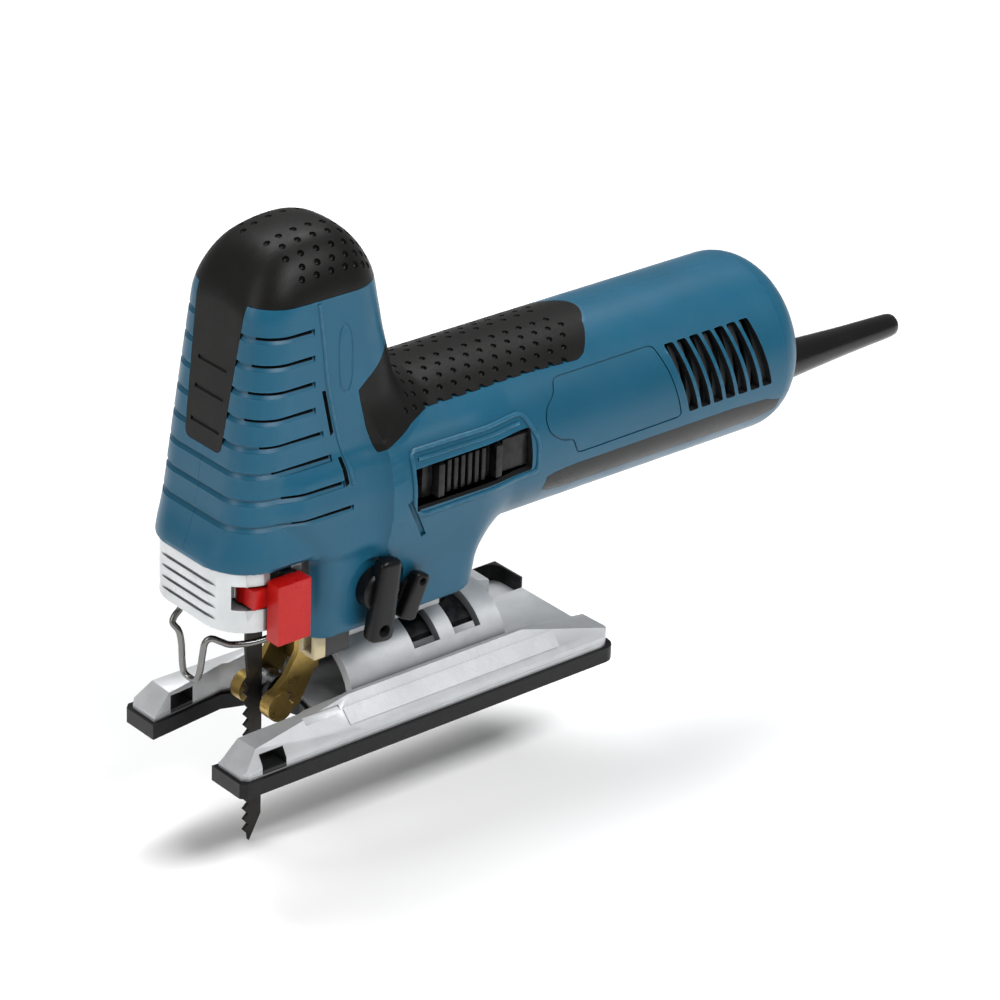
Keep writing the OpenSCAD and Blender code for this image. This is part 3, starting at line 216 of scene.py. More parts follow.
def rings(path):
    """Vertices and faces of a closed solid: rings of points carried along a path, joined by quads, with a face on each
    end."""
    n, m = path.shape[:2]
    i = np.arange(m)
    k = (np.arange(n - 1) * m)[:, None]
    j = (i + 1) % m
    quads = np.stack([k + i, k + j, k + m + j, k + m + i], -1).reshape(-1, 4)
    return path.reshape(-1, 3), quads.tolist() + [i[::-1].tolist(), (i + (n - 1) * m).tolist()]


def hoop(path):
    """As rings, but the last ring joins the first, as round a closed groove."""
    n, m = path.shape[:2]
    i, k = np.arange(m), np.arange(n)[:, None]
    j, l = (i + 1) % m, (k + 1) % n
    quads = np.stack([k * m + i, k * m + j, l * m + j, l * m + i], -1).reshape(-1, 4)
    return path.reshape(-1, 3), quads.tolist()


def make(name, parts, mats, index=0, smooth=35):
    """One mesh object from several closed solids, in millimetres, faces turned outwards."""
    verts, faces, base = [], [], 0
    for v, f in parts:
        verts.append(np.asarray(v, float))
        faces += [[a + base for a in face] for face in f]
        base += len(v)
    me = bpy.data.meshes.new(name)
    me.from_pydata((np.vstack(verts) * MM).tolist(), [], faces)
    b = bmesh.new()
    b.from_mesh(me)
    bmesh.ops.recalc_face_normals(b, faces=b.faces)
    b.to_mesh(me)
    b.free()
    for m in mats:
        me.materials.append(m)
    me.polygons.foreach_set("material_index", np.full(len(me.polygons), index, np.int32))
    ob = bpy.data.objects.new(name, me)
    bpy.context.scene.collection.objects.link(ob)
    if smooth:
        soften(ob, smooth)
    return ob


def soften(ob, angle=35):
    ob.data.shade_smooth()
    ob.data.set_sharp_from_angle(angle=math.radians(angle))


def settle(ob):
    """Puts the result of the object's modifiers into its mesh."""
    me = bpy.data.meshes.new_from_object(ob.evaluated_get(bpy.context.evaluated_depsgraph_get()))
    old, ob.data = ob.data, me
    ob.modifiers.clear()
    bpy.data.meshes.remove(old)


def cut(ob, tool, kind="DIFFERENCE", keep=False):
    """Cuts, joins or keeps the common part of a piece and a closed tool, and takes the tool away."""
    mod = ob.modifiers.new("cut", "BOOLEAN")
    mod.operation, mod.object, mod.solver = kind, tool, "MANIFOLD"
    bpy.context.view_layer.update()
    settle(ob)
    if not keep:
        bpy.data.objects.remove(tool)


def carve(ob, name, parts, index=0, kind="DIFFERENCE", mats=SKIN):
    """Cut by closed solids in millimetres; with index 1 the faces they leave are dark, painted shade on the walls of
    the openings.
    """
    cut(ob, make(name, parts, mats, index, 0), kind)


def duplicate(ob, name):
    new = bpy.data.objects.new(name, ob.data.copy())
    bpy.context.scene.collection.objects.link(new)
    return new


def prism_y(points, y0, y1):
    """Solid of a side-view outline (x, z) carried across from y0 to y1."""
    p = np.array(points, float)
    both = [np.stack([p[:, 0], np.full(len(p), y), p[:, 1]], -1) for y in (y0, y1)]
    return rings(np.stack(both))


def prism_x(points, x0, x1):
    """Solid of an end-view outline (y, z) carried from x0 to x1."""
    p = np.array(points, float)
    both = [np.stack([np.full(len(p), x), p[:, 0], p[:, 1]], -1) for x in (x0, x1)]
    return rings(np.stack(both))


def block(x, y, z):
    """Box between two values on each axis."""
    return prism_y([(x[0], z[0]), (x[1], z[0]), (x[1], z[1]), (x[0], z[1])], y[0], y[1])


def circle(n=32):
    """Cosines and sines of n even steps round a circle."""
    a = np.arange(n) * 2 * math.pi / n
    return np.cos(a), np.sin(a)


def lathe_x(profile, y, z, n=48):
    """Solid of revolution about a line along X: profile gives x and radius, and both ends close flat."""
    c, s = circle(n)
    p = np.array(profile, float)
    return rings(np.stack([np.repeat(p[:, :1], n, 1), y + p[:, 1:] * c, z + p[:, 1:] * s], -1))


def lathe_y(profile, x, z, n=40):
    """Solid of revolution about a line along Y: profile gives y and radius."""
    c, s = circle(n)
    p = np.array(profile, float)
    return rings(np.stack([x + p[:, 1:] * c, np.repeat(p[:, :1], n, 1), z + p[:, 1:] * s], -1))


def tube(path, radius, n=18):
    """Round solid along a smooth path: each ring stands square to the path, its side carried on without twist."""
    p = np.array(path, float)
    t = np.gradient(p, axis=0)
    t /= np.linalg.norm(t, axis=1)[:, None].clip(1e-9)
    side = np.zeros_like(p)
    side[0] = np.cross(t[0], [0.3, 0.9, 0.2])
    for i in range(1, len(p)):
        side[i] = side[i - 1] - t[i] * (side[i - 1] @ t[i])
    side /= np.linalg.norm(side, axis=1)[:, None]
    up = np.cross(t, side)
    c, s = circle(n)
    r = np.broadcast_to(np.asarray(radius, float), len(p))[:, None, None]
    return rings(p[:, None] + r * (side[:, None] * c[:, None] + up[:, None] * s[:, None]))


def curve_through(points, n):
    """Smooth line through the points: Catmull-Rom, n places in all."""
    p = np.array(points, float)
    q = np.vstack([2 * p[0] - p[1], p, 2 * p[-1] - p[-2]])
    t = np.linspace(0, len(p) - 1 - 1e-9, n)
    i = t.astype(int)
    u = (t - i)[:, None]
    a, b, c, d = q[i], q[i + 1], q[i + 2], q[i + 3]
    return 0.5 * (2 * b + (c - a) * u + (2 * a - 5 * b + 4 * c - d) * u ** 2 + (3 * b - a - 3 * c + d) * u ** 3)


# ---------- the casing as one smooth form ----------
# Millimetres: the barrel's line, radius and end
AXIS_Z, BARREL_R, BARREL_END = 88.5, 32.0, 166.0
# Top of the tower and width of a step for slopes
TOP_Z, STEP = 181.0, 0.05


def front_x(z):
    """Front edge of the tower, a straight line that leans back."""
    return -75.5 + 0.1405 * (z - 88.0)


def spline_table(rows, spread):
    """Levels as smooth columns: straight between the rows, then each height takes the mean of its neighbours."""
    r = np.array(rows, float)
    z = np.arange(r[0, 0] - 20, r[-1, 0] + 20, 0.5)
    k = int(spread / 0.5)
    w = np.hanning(2 * k + 3)
    w /= w.sum()
    cols = [np.convolve(np.pad(np.interp(z, r[:, 0], c), k + 1, "edge"), w, "valid") for c in r.T[1:]]
    return z, cols


# Tower: height, front, rear, half width, radius of the front corners, radius of the rear corners
TOWER = spline_table([
    [75, -80.3, -20, 27.5, 19, 8], [79, -79.4, -20, 27.1, 18, 8], [85, front_x(85) - 1, -20, 26.1, 15, 8],
    [92, front_x(92), -14, 25.5, 13, 12], [110, front_x(110), -4, 24.5, 12, 14], [126, front_x(126), -7, 24, 12, 15],
    [145, front_x(145), -11, 23.3, 12, 16], [162, front_x(162), -14, 22.5, 12, 16],
    [185, front_x(185), -18.5, 21.6, 14, 17]], 4)
# Neck: height, front, rear, half width
NECK = spline_table([[43, -46.5, 24, 26.5], [64, -46.5, 27, 28], [77, -46.5, 27, 28], [92.5, -60.5, 33, 29],
                     [104.5, -58.5, 27, 26.5]], 3)


def rect(x, y, x0, x1, hw, rf, rr):
    """Distance to a rectangle whose front and rear corners have their own radii."""
    c, h = (x0 + x1) / 2, (x1 - x0) / 2
    r = np.where(x < c, rf, rr)
    qx, qy = np.abs(x - c) - (h - r), np.abs(y) - (hw - r)
    return np.hypot(np.maximum(qx, 0), np.maximum(qy, 0)) + np.minimum(np.maximum(qx, qy), 0) - r


def meet(a, b, r):
    """Intersection of two fields with a rounded edge."""
    return np.minimum(-r, np.maximum(a, b)) + np.hypot(np.maximum(r + a, 0), np.maximum(r + b, 0))


def fuse(a, b, r):
    """Union of two fields with a filled corner."""
    return np.maximum(r, np.minimum(a, b)) - np.hypot(np.maximum(r - a, 0), np.maximum(r - b, 0))


def casing(p):
    """Field of the casing, negative inside: the tower's rounded sections under a dome, the barrel and the neck."""
    x, y, z = p[:, 0], p[:, 1], p[:, 2]
    t = [np.interp(z, TOWER[0], c) for c in TOWER[1]]
    tower = rect(x, y, *t)
    dome = z - (TOP_Z - ((x + 37) ** 2 + y ** 2) / 90)
    tower = meet(meet(tower, dome, 13), 75 - z, 1.2)
    barrel = meet(np.hypot(y, z - AXIS_Z) - BARREL_R, x - BARREL_END, 14)
    barrel = np.maximum(barrel, -18 - x)
    n = [np.interp(z, NECK[0], c) for c in NECK[1]]
    neck = meet(rect(x, y, n[0], n[1], n[2], 8.0, 12.0), np.abs(z - 73.75) - 30.75, 2.5)
    return fuse(fuse(tower, neck, 5), barrel, 11)


def uphill(p):
    """Slope of the casing's field at each place."""
    return np.stack([casing(p + STEP * d) - casing(p - STEP * d) for d in np.eye(3)], -1) / (2 * STEP)


def onto(ob, level, steps=6):
    """Moves each vertex along the field's slope until it lies on the wanted level."""
    me = ob.data
    p = np.empty(len(me.vertices) * 3)
    me.vertices.foreach_get("co", p)
    p = p.reshape(-1, 3) / MM
    for _ in range(steps):
        g = uphill(p)
        f = casing(p) - level
        s = np.sum(g * g, 1).clip(0.2)
        p -= g * np.clip(f / s, -2.5, 2.5)[:, None]
    me.vertices.foreach_set("co", (p * MM).ravel())
    me.update()


def section(x0, x1, hw, rf, rr, z, n=24):
    """Points round a rounded rectangle at one height, anticlockwise from the front's middle."""
    a = np.linspace(0, math.pi / 2, n // 4)
    x = np.concatenate([x0 + rf - rf * np.cos(a), x1 - rr + rr * np.sin(a)])
    y = np.concatenate([-(hw - rf) - rf * np.sin(a), -(hw - rr) - rr * np.cos(a)])
    x, y = np.concatenate([x, x[::-1]]), np.concatenate([y, -y[::-1]])
    return np.stack([x, y, np.full(len(x), z)], -1)


def shell_mesh(name, inset, voxel, level):
    """The casing at one level: rough blocks, remeshed evenly, then laid on the field."""
    tz = np.array([75 + inset, 85, 100, 120, 140, 162, 171, 177, 180.5 - inset])
    rows = []
    for z in tz:
        t = [float(np.interp(z, TOWER[0], c)) for c in TOWER[1]]
        k = inset + max(0.0, z - 165) * 0.55
        rows.append(section(t[0] + k, t[1] - k, t[2] - k, 11, 11, z))
    parts = [rings(np.stack(rows))]
    rows = []
    for z in (43 + inset, 64, 77, 92.5, 102):
        t = [float(np.interp(z, NECK[0], c)) for c in NECK[1]]
        rows.append(section(t[0] + inset, t[1] - inset, t[2] - inset, 6, 9, z))
    parts.append(rings(np.stack(rows)))
    r, x1 = BARREL_R - inset, BARREL_END - inset
    parts.append(lathe_x([(-17, r - 1), (x1 - 12, r), (x1 - 5, r - 3), (x1, r - 10)], 0, AXIS_Z, 64))
    ob = make(name, parts, [], 0, 0)
    mod = ob.modifiers.new("even", "REMESH")
    mod.mode, mod.voxel_size = "VOXEL", voxel * MM
    bpy.context.view_layer.update()
    settle(ob)
    onto(ob, level)
    return ob


def paint(ob, mats):
    """Gives the piece these materials in place of its own."""
    ob.data.materials.clear()
    for m in mats:
        ob.data.materials.append(m)
    return ob


def round_path(points, r, n=6):
    """Closed outline with its corners rounded: each corner is the parabola between points r away along its sides."""
    p = np.array(points, float)
    before, after = np.roll(p, 1, 0) - p, np.roll(p, -1, 0) - p
    lb, la = (np.linalg.norm(d, axis=1)[:, None] for d in (before, after))
    a, b = p + before / lb * np.minimum(r, lb * 0.45), p + after / la * np.minimum(r, la * 0.45)
    t = np.linspace(0, 1, n)[None, :, None]
    q = a[:, None] * (1 - t) ** 2 + 2 * p[:, None] * t * (1 - t) + b[:, None] * t ** 2
    return q.reshape(-1, 2)


def dense(points, step):
    """Closed outline with points no further apart than step."""
    p = np.array(points, float)
    q = np.roll(p, -1, 0)
    out = [a + (b - a) * np.linspace(0, 1, max(1, int(np.linalg.norm(b - a) / step)), endpoint=False)[:, None]
           for a, b in zip(p, q)]
    return np.vstack(out)


# Zones of the soft skins; each grows by e all round, and SEAM is half the gap between a skin and the shell
CAP_Z, STRIP_LOW, SEAM = 162.0, 112.0, 0.09


def cap_zone(e):
    """Top of the tower, and the strip down its front, which widens upwards."""
    k = 0.6 * e
    top = block((-100, 20), (-40, 40), (CAP_Z - e, 200))
    outline = [(-9.3 - e, STRIP_LOW - e), (9.3 + e, STRIP_LOW - e), (12.6 + k, CAP_Z + 3), (-12.6 - k, CAP_Z + 3)]
    strip = prism_x(round_path(outline, 3), -100, -58)
    return make("cap_zone", [top], [], 0, 0), make("strip_zone", [strip], [], 0, 0)


def grip_zone(e):
    """Side view of the saddle grip: pointed at the lower front, level along the barrel, drawn up at the rear."""
    pts = [(-28.8 - e, 128), (-26 - e, 114), (-23.2 - e, 105.8 - e), (-19, 107.3 - e), (-8, 111.4 - e),
           (3, 112.8 - e), (45, 112.8 - e), (66, 112.2 - e), (69.5 + e, 113.2 - e), (77.8 + e, 119 - e),
           (83 + e, 120.6 - e), (84 + e, 124), (84, 141), (4, 141), (-12, 141), (-17.5, 137 + e)]
    return make("grip_zone", [prism_y(round_path(pts, 0.9, 4), -42, 42)], [], 0, 0)


def strip_zone(e):
    """Band low on each flank of the barrel: its upper and lower angle below the side, at stations along X."""
    out = []
    for s in (-1, 1):
        x = np.array([47 - e, 50 - 0.5 * e, 60, 130, 146, 153 + e])
        top = np.array([19.5 - e, 17.5 - e, 16.0 - e, 15.5 - e, 17 - e, 21 - e])
        low = np.array([31 + e, 34 + e, 35.5 + e, 35.5 + e, 34 + e, 29 + e])
        a = np.radians(np.stack([top, top, low, low], 1))
        r = np.array([24, 42, 42, 24.0])
        out.append(rings(np.stack([np.repeat(x[:, None], 4, 1), s * r * np.cos(a), AXIS_Z - r * np.sin(a)], -1)))
    return make("strip_zone_side", out, [], 0, 0)


# ---------- cutters of the casing ----------


def wall_path(z, x_end, side, n=40, start=8.8):
    """Line round the tower at one height, from beside the front strip to x_end, with its outward direction."""
    t = [float(np.interp(z, TOWER[0], c)) for c in TOWER[1]]
    x0, hw, r = t[0], t[2], t[3]
    a = np.linspace(0, math.pi / 2, 14)
    y_front = max(hw - r, start + 0.5)
    first = np.linspace(start, y_front, 5)[:-1]
    x = np.concatenate([np.full(4, x0), x0 + r - r * np.cos(a), np.linspace(x0 + r, x_end, n)[1:]])
    y = np.concatenate([first, y_front + r * np.sin(a), np.full(n - 1, hw)])
    p = np.stack([x, side * y, np.full(len(x), z)], -1)
    for _ in range(12):
        g = uphill(p)
        g[:, 2] = 0
        p = p - g * (casing(p) / np.sum(g * g, 1).clip(0.2))[:, None] * 0.8
    return p, g / np.linalg.norm(g, axis=1)[:, None].clip(0.1)


def groove(path, out, profile):
    """Groove cutter: a small outline of (depth outwards, height) carried along a line on the wall."""
    d, h = np.array(profile, float).T
    up = np.array([0, 0, 1.0])
    return rings(path[:, None] + out[:, None] * d[:, None] + up * h[:, None])


# Rows of the tower: height of the top one, pitch, and where each starts beside the strip or, low down, in the middle
ROW_Z, ROW_PITCH = 152.58, 8.85
ROW_STARTS = (11.6, 11.1, 10.5, 10.0, 9.4, -0.2, -0.2, -0.2)
SLOT_LEN = 22.5


def row_end(i):
    """Rear end of a row: the four upper rows end in line, the lower ones run further back."""
    return -46.5 if i < 4 else -46.5 + 3 * (i - 3)


def through_wall(outline, side, inner=16.5):
    """Cutter of a small slot through one flank."""
    return prism_y(round_path(outline, 0.35, 3), *sorted((side * inner, side * 40)))


def tower_grooves():
    """Cutters of the grooves round the tower and of the slots at their rear ends."""
    lips, holes = [], []
    for i, start in enumerate(ROW_STARTS):
        z, x1 = ROW_Z - ROW_PITCH * i, row_end(i)
        for s in (-1, 1):
            path, out = wall_path(z, x1 + 0.6, s, start=start)
            lips.append(groove(path, out, [(3, 0.75), (-0.85, 0.75), (-0.85, -0.25), (0.02, -1.55), (3, -1.55)]))
            x0 = x1 - SLOT_LEN
            holes.append(through_wall([(x0, z - 0.35), (x1, z - 0.75), (x1, z + 0.75), (x0, z + 0.75)], s))
    return lips, holes


def on_barrel(x, a, r):
    """Points of a line given along the barrel and round it, at radius r; the angle is measured up from the side."""
    return np.stack([x, -r * np.cos(a), AXIS_Z + r * np.sin(a)], -1)


def barrel_groove(points, depth, width, side=1):
    """Closed groove on the barrel: a narrow outline round a line of (x, height angle in degrees)."""
    p = dense(points, 2.0)
    p = p[np.linalg.norm(np.roll(p, -1, 0) - p, axis=1) > 1e-6]
    x, a = p[:, 0], np.radians(p[:, 1])
    t = np.roll(p, -1, 0) - np.roll(p, 1, 0)
    t[:, 1] *= math.radians(1) * BARREL_R
    t /= np.linalg.norm(t, axis=1)[:, None]
    nx, na = -t[:, 1], t[:, 0] / BARREL_R
    w = width / 2
    ring = []
    for k, r in ((-w, BARREL_R + 2), (-w, BARREL_R - depth), (w, BARREL_R - depth), (w, BARREL_R + 2)):
        q = on_barrel(x + nx * k, a + na * k, r)
        q[:, 1] *= side
        ring.append(q)
    return hoop(np.stack(ring, 1))


def ring_groove(x, depth, width):
    """Groove right round the barrel: a narrow outline turned about the barrel's line."""
    a = np.linspace(0, 2 * math.pi, 96, endpoint=False)
    w = width / 2
    return hoop(np.stack([on_barrel(np.full(96, x + k), a, r) for k, r in
                          ((-w, BARREL_R + 2), (0, BARREL_R - depth), (w, BARREL_R + 2))], 1))


def ball(c, r, n=10, m=6):
    """Small faceted ball."""
    a = np.linspace(0, math.pi, m + 1)[1:-1]
    cx, sx = circle(n)
    ring = np.stack([np.outer(np.sin(a), cx), np.outer(np.sin(a), sx), np.repeat(np.cos(a)[:, None], n, 1)], -1)
    return rings(ring * r + np.array(c))


def foot_on(points, level=0.0):
    """Nearest places on the casing to the given points, found along the field's slope."""
    p = np.array(points, float)
    for _ in range(14):
        g = uphill(p)
        f = casing(p) - level
        p = p - g * (f / np.sum(g * g, 1).clip(0.2))[:, None] * 0.8
    return p


def slide_along(p, axis, level, way, steps, least=0.3):
    """Moves each place along one axis onto the casing's level; way is +1 or -1, the side that faces out."""
    step = STEP * np.eye(3)[axis]
    for _ in range(steps):
        slope = (casing(p + step) - casing(p - step)) / (2 * STEP)
        p[:, axis] -= (casing(p) - level) / np.where(np.abs(slope) < least, least * way, slope) * 0.8
    return p


def on_wall(points, side, level, n):
    """Line on the casing's flank from its side view (x, z): smooth through n places, or as given where n is 0."""
    q = np.array(points, float)
    q = curve_through(q, n) if n else q
    p = np.stack([q[:, 0], np.full(len(q), side * 34.0), q[:, 1]], -1)
    return slide_along(p, 1, level, side, 20)


def closed_tube(path, radius, n=10):
    """Round ring along a closed line on the flank: its section lies in the line's normal plane."""
    t = np.roll(path, -1, 0) - np.roll(path, 1, 0)
    t /= np.linalg.norm(t, axis=1)[:, None]
    side = np.cross(t, [0, 1.0, 0])
    side /= np.linalg.norm(side, axis=1)[:, None]
    c, s = circle(n)
    return hoop(path[:, None] + radius * (side[:, None] * c[:, None] + np.cross(t, side)[:, None] * s[:, None]))


def on_nose(z, half, level, n=15):
    """Line across the casing's front at height z, half wide to each side."""
    p = np.stack([np.full(n, -80.0), np.linspace(-half, half, n), np.full(n, float(z))], -1)
    return slide_along(p, 0, level, -1, 25)


# ---------- build the casing ----------
# Outer face, the bottom of the skins' pockets, and the hollow inside
outer = paint(shell_mesh("outer", 0.8, 0.95, 0.0), SKIN)
middle = paint(shell_mesh("middle", 2.0, 1.8, -2.0), SKIN)
inner = paint(shell_mesh("inner", 3.2, 1.8, -3.1), SKIN)

lips, holes = tower_grooves()
carve(outer, "crease", [ring_groove(153.4, 0.3, 0.7)])
# Panel line on each flank of the barrel, with a round bulge at its front end: x and height angle
panel = round_path([(52.8, 42), (96.7, 42.3), (100.3, 24), (105, -7), (58.5, -8), (56.2, 2.5), (51.5, 4), (46.6, 10),
                    (45.2, 18), (46.4, 26), (51, 33)], 3)
for s in (-1, 1):
    carve(outer, "panel_line", [barrel_groove(panel, 0.4, 0.6, s)])

cap = duplicate(outer, "cap_part")
cap_top, cap_strip = cap_zone(-SEAM)
cut(cap_top, cap_strip, "UNION")
cut(cap, cap_top, "INTERSECT")
cut(cap, middle, "DIFFERENCE", True)
grip = duplicate(outer, "grip_part")
cut(grip, grip_zone(-SEAM), "INTERSECT")
cut(grip, middle, "DIFFERENCE", True)
bands = duplicate(outer, "band_part")
cut(bands, strip_zone(-SEAM), "INTERSECT")
cut(bands, middle, "DIFFERENCE", True)

shell = outer
shell.name = "shell_part"
for zone in (*cap_zone(SEAM), grip_zone(SEAM), strip_zone(SEAM)):
    cut(shell, zone)
for lip in lips:
    carve(shell, "lip", [lip])
# Raised band behind the slots and the oblong mark behind it, on both flanks
band_line = [(-44, 161), (-42.4, 146), (-41, 132.6), (-37.4, 115), (-35.2, 107.7), (-33.6, 98)]
turn = np.linspace(0, 2 * math.pi, 48, endpoint=False)
oblong = np.stack([-33.9 + 2.7 * np.cos(turn), 140.5 + 11.5 * np.sign(np.sin(turn)) * np.abs(np.sin(turn)) ** 0.7], -1)
for s in (-1, 1):
    carve(shell, "band", [tube(on_wall(band_line, s, -0.25, 60), 0.75, 10)], kind="UNION")
    carve(shell, "pill", [closed_tube(on_wall(oblong, s, 0.25, 0), 0.5)])
# Round the switch: raised frame, a second ridge above, and the short mark in front
frame_line = round_path([(-12.5, 104.2), (36, 103.6), (41.2, 94), (41.2, 82.4), (-9, 81.8), (-12.5, 85)], 2.2)
ridge_line = [(-10, 101.3), (10, 101.2), (34, 100.9)]
mark_line = [(-14.6, 88), (-12, 83), (-6.6, 73)]
carve(shell, "surround", [closed_tube(on_wall(dense(frame_line, 2.0), -1, -0.1, 0), 0.95)], kind="UNION")
carve(shell, "ridge", [tube(on_wall(ridge_line, -1, -0.2, 40), 0.8, 10)], kind="UNION")
carve(shell, "mark", [tube(on_wall(mark_line, -1, -0.1, 24), 1.0, 12)])
cut(shell, middle, "UNION")
cut(shell, inner)

# Vents: seven slanted slots on each side, their walls painted dark as shade
vents = []
for i in range(7):
    x = 101.6 + 5.7 * i
    for s in (-1, 1):
        pts = round_path([(x + 6.9, 85.2), (x + 11.1, 85.2), (x + 4.2, 109.2), (x, 109.2)], 0.9)
        vents.append(prism_y(pts, *sorted((s * 17, s * 40))))
carve(shell, "vents", vents, 1)
# Two slits in front of the raised band
upper_slit = [(-43.4, 131.5), (-41.9, 131.5), (-38.9, 116.2), (-40.1, 115.2)]
lower_slit = [(-37.6, 107.4), (-36.2, 107.4), (-35.0, 98.6), (-36.6, 97.8)]
for s in (-1, 1):
    holes += [through_wall(slit, s) for slit in (upper_slit, lower_slit)]
# The slots' walls are painted dark, as shade
for hole in holes:
    carve(shell, "slot", [hole], 1)
# Switch window, underside, blade well, lever holes and recess, cord hole, dial slot; all but the recess have walls of
# painted shade
ORBIT_AXIS, BLOWER_AXIS, CORD_Z = (-23.5, 58), (-10, 53.2), 72
carve(shell, "window", [prism_y(round_path([(-12, 84), (38.8, 83.6), (38.2, 98.8), (-12, 98.4)], 1.2), -40, -22)], 1)
carve(shell, "well", [block((-47.5, -28), (-22, 22), (20, 78))], 1)
carve(shell, "well_up", [block((-71, -29), (-19.5, 19.5), (60, 79))], 1)
carve(shell, "foot_slot", [block((-28.5, 22), (-7.2, 7.2), (30, 50))], 1)
carve(shell, "recess", [lathe_y([(-40, 12.2), (-27.1, 11.6)], *ORBIT_AXIS)])
carve(shell, "axles", [lathe_y([(-40, 4.4), (-18, 4.4)], *ORBIT_AXIS)], 1)
carve(shell, "axle_low", [lathe_y([(-40, 3.0), (-18, 3.0)], *BLOWER_AXIS)], 1)
carve(shell, "cord_hole", [lathe_x([(140, 7.8), (175, 7.8)], 0, CORD_Z)], 1)
carve(shell, "dial_slot", [block((156, 175), (-4, 4), (87.5, 111))], 1)
screws = [(-66.5, 97.5), (-42, 168.5), (-23.9, 72), (18, 55.5), (98, 64.1), (98, 112.9), (133, 64.1), (140, 112.9)]
carve(shell, "screw_wells", [lathe_y([(8.0, 3.8), (60, 3.8)], x, z, 24) for x, z in screws])

# Pits of the soft skins
pits = []
for row in range(5):
    for k in range(8 - row % 2):
        x = -54 + 5.9 * k + 2.95 * (row % 2) + 1.1 * row
        for s in (-1, 1):
            pits.append((x, s * (6.5 + 4.6 * row), 181 - 2.1 * row))
spots = foot_on(pits, -0.05)
carve(cap, "cap_pits", [ball(c, 1.2) for c in spots if c[2] > 165.5], mats=[soft, soft])
pits = []
for row in range(5):
    for k in range(15):
        x = -16 + 5.9 * k + 2.95 * (row % 2)
        a = math.radians(50 + 8.2 * row)
        if x < 66 + row * 1.2 and x > -14 + row * 2.2:
            for s in (-1, 1):
                pits.append((x, s * 33 * math.cos(a), AXIS_Z + 33 * math.sin(a)))
spots = foot_on(pits, -0.05)
carve(grip, "grip_pits", [ball(c, 1.1) for c in spots], mats=[soft, soft])

for piece in (shell, cap, grip, bands):
    soften(piece, 32)
paint(cap, [soft, soft])
paint(grip, [soft, soft])
paint(bands, [black, black])


BODY_OF = {n: body for body, nodes in frame["record"]["behaviour"]["bodies"].items() for n in nodes}


def finished(ob, name, *nodes):
    """Names a piece, hides the nodes it stands for, and lets it ride on their body."""
    ob.name = name
    ob.data.name = name
    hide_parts(*nodes)
    sub = next(s for s in frame["record"]["subparts"] if s["node"] == nodes[0])
    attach(ob, BODY_OF[nodes[0]])
    return ob


left = duplicate(shell, "shell_left")
carve(left, "half", [block((-120, 200), (-60, -0.06), (0, 220))], kind="INTERSECT")
carve(shell, "half", [block((-120, 200), (0.06, 60), (0, 220))], kind="INTERSECT")
for piece in (left, shell):
    soften(piece, 32)
finished(left, "casing_left", "housing_left")
finished(shell, "casing_right", "housing_right")
for z in (139, 129.5, 118.5):
    carve(cap, "step", [tube(on_nose(z, 7.4, 0.2), 0.75, 10)], mats=[soft, opening_shade])
finished(cap, "cap_skin", "tower_cap")
finished(grip, "saddle_skin", "saddle_grip")
finished(bands, "side_bands", "side_strips")

# ---------- pieces carried over from the frame, with rounded edges ----------


def rounded(node, mat, width, segments=2, angle=32, raised=None):
    """A merged copy of the frame's piece, its flat faces joined again and its edges rounded; raised is added first."""
    b = bmesh.new()
    b.from_mesh(frame["nodes"][node].data)
    bmesh.ops.remove_doubles(b, verts=b.verts, dist=0.02 * MM)
    bmesh.ops.dissolve_limit(b, angle_limit=math.radians(1.5), verts=b.verts, edges=b.edges)
    me = bpy.data.meshes.new(node + "_skin")
    b.to_mesh(me)
    b.free()
    me.materials.clear()
    me.materials.append(mat)
    ob = bpy.data.objects.new(node + "_skin", me)
    bpy.context.scene.collection.objects.link(ob)
    if raised:
        carve(ob, "raised", raised, kind="UNION", mats=[mat])
    soften(ob, angle)
    mod = ob.modifiers.new("round", "BEVEL")
    mod.width, mod.segments = width * MM, segments
    mod.limit_method, mod.angle_limit = "ANGLE", math.radians(angle)
    mod.harden_normals = True
    return finished(ob, node + "_skin", node)


# End view of the pad on the near rail's slope
pad = [(-25.3, 15.2), (-29.6, 10.9), (-29.95, 11.25), (-25.65, 15.6)]
rounded("base_plate", alloy, 0.5, 3, raised=[prism_x(pad, -34, 56)])
rounded("slide_shoe", shoe_black, 0.6, 3)
rounded("front_guard", guard_alloy, 0.35, 2)
rounded("release_lever", red, 1.0, 4)


def bar(low, high, w_low, w_high, y0, y1, turn, x, z, edge=2.0, n=32):
    """Handle: rounded rectangles along its length, drawn in at both ends, then turned about Y and set in place."""
    a = np.linspace(0, math.pi / 2, 6)
    h = np.concatenate([low + edge * (1 - np.cos(a)), high - edge * (1 - np.cos(a[::-1]))])
    inset = edge * (1 - np.sin(np.concatenate([a, a[::-1]])))
    w = np.interp(h, [low, high], [w_low, w_high]) - inset
    d = (y1 - y0) / 2 - inset * 0.7
    c, s = circle(n)
    c, s = np.sign(c) * np.abs(c) ** 0.5, np.sign(s) * np.abs(s) ** 0.5
    lx, ly, lz = w[:, None] * c, (y0 + y1) / 2 + d[:, None] * s, np.repeat(h[:, None], n, 1)
    t = math.radians(turn)
    return rings(np.stack([x + lx * math.cos(t) + lz * math.sin(t), ly, z - lx * math.sin(t) + lz * math.cos(t)], -1))


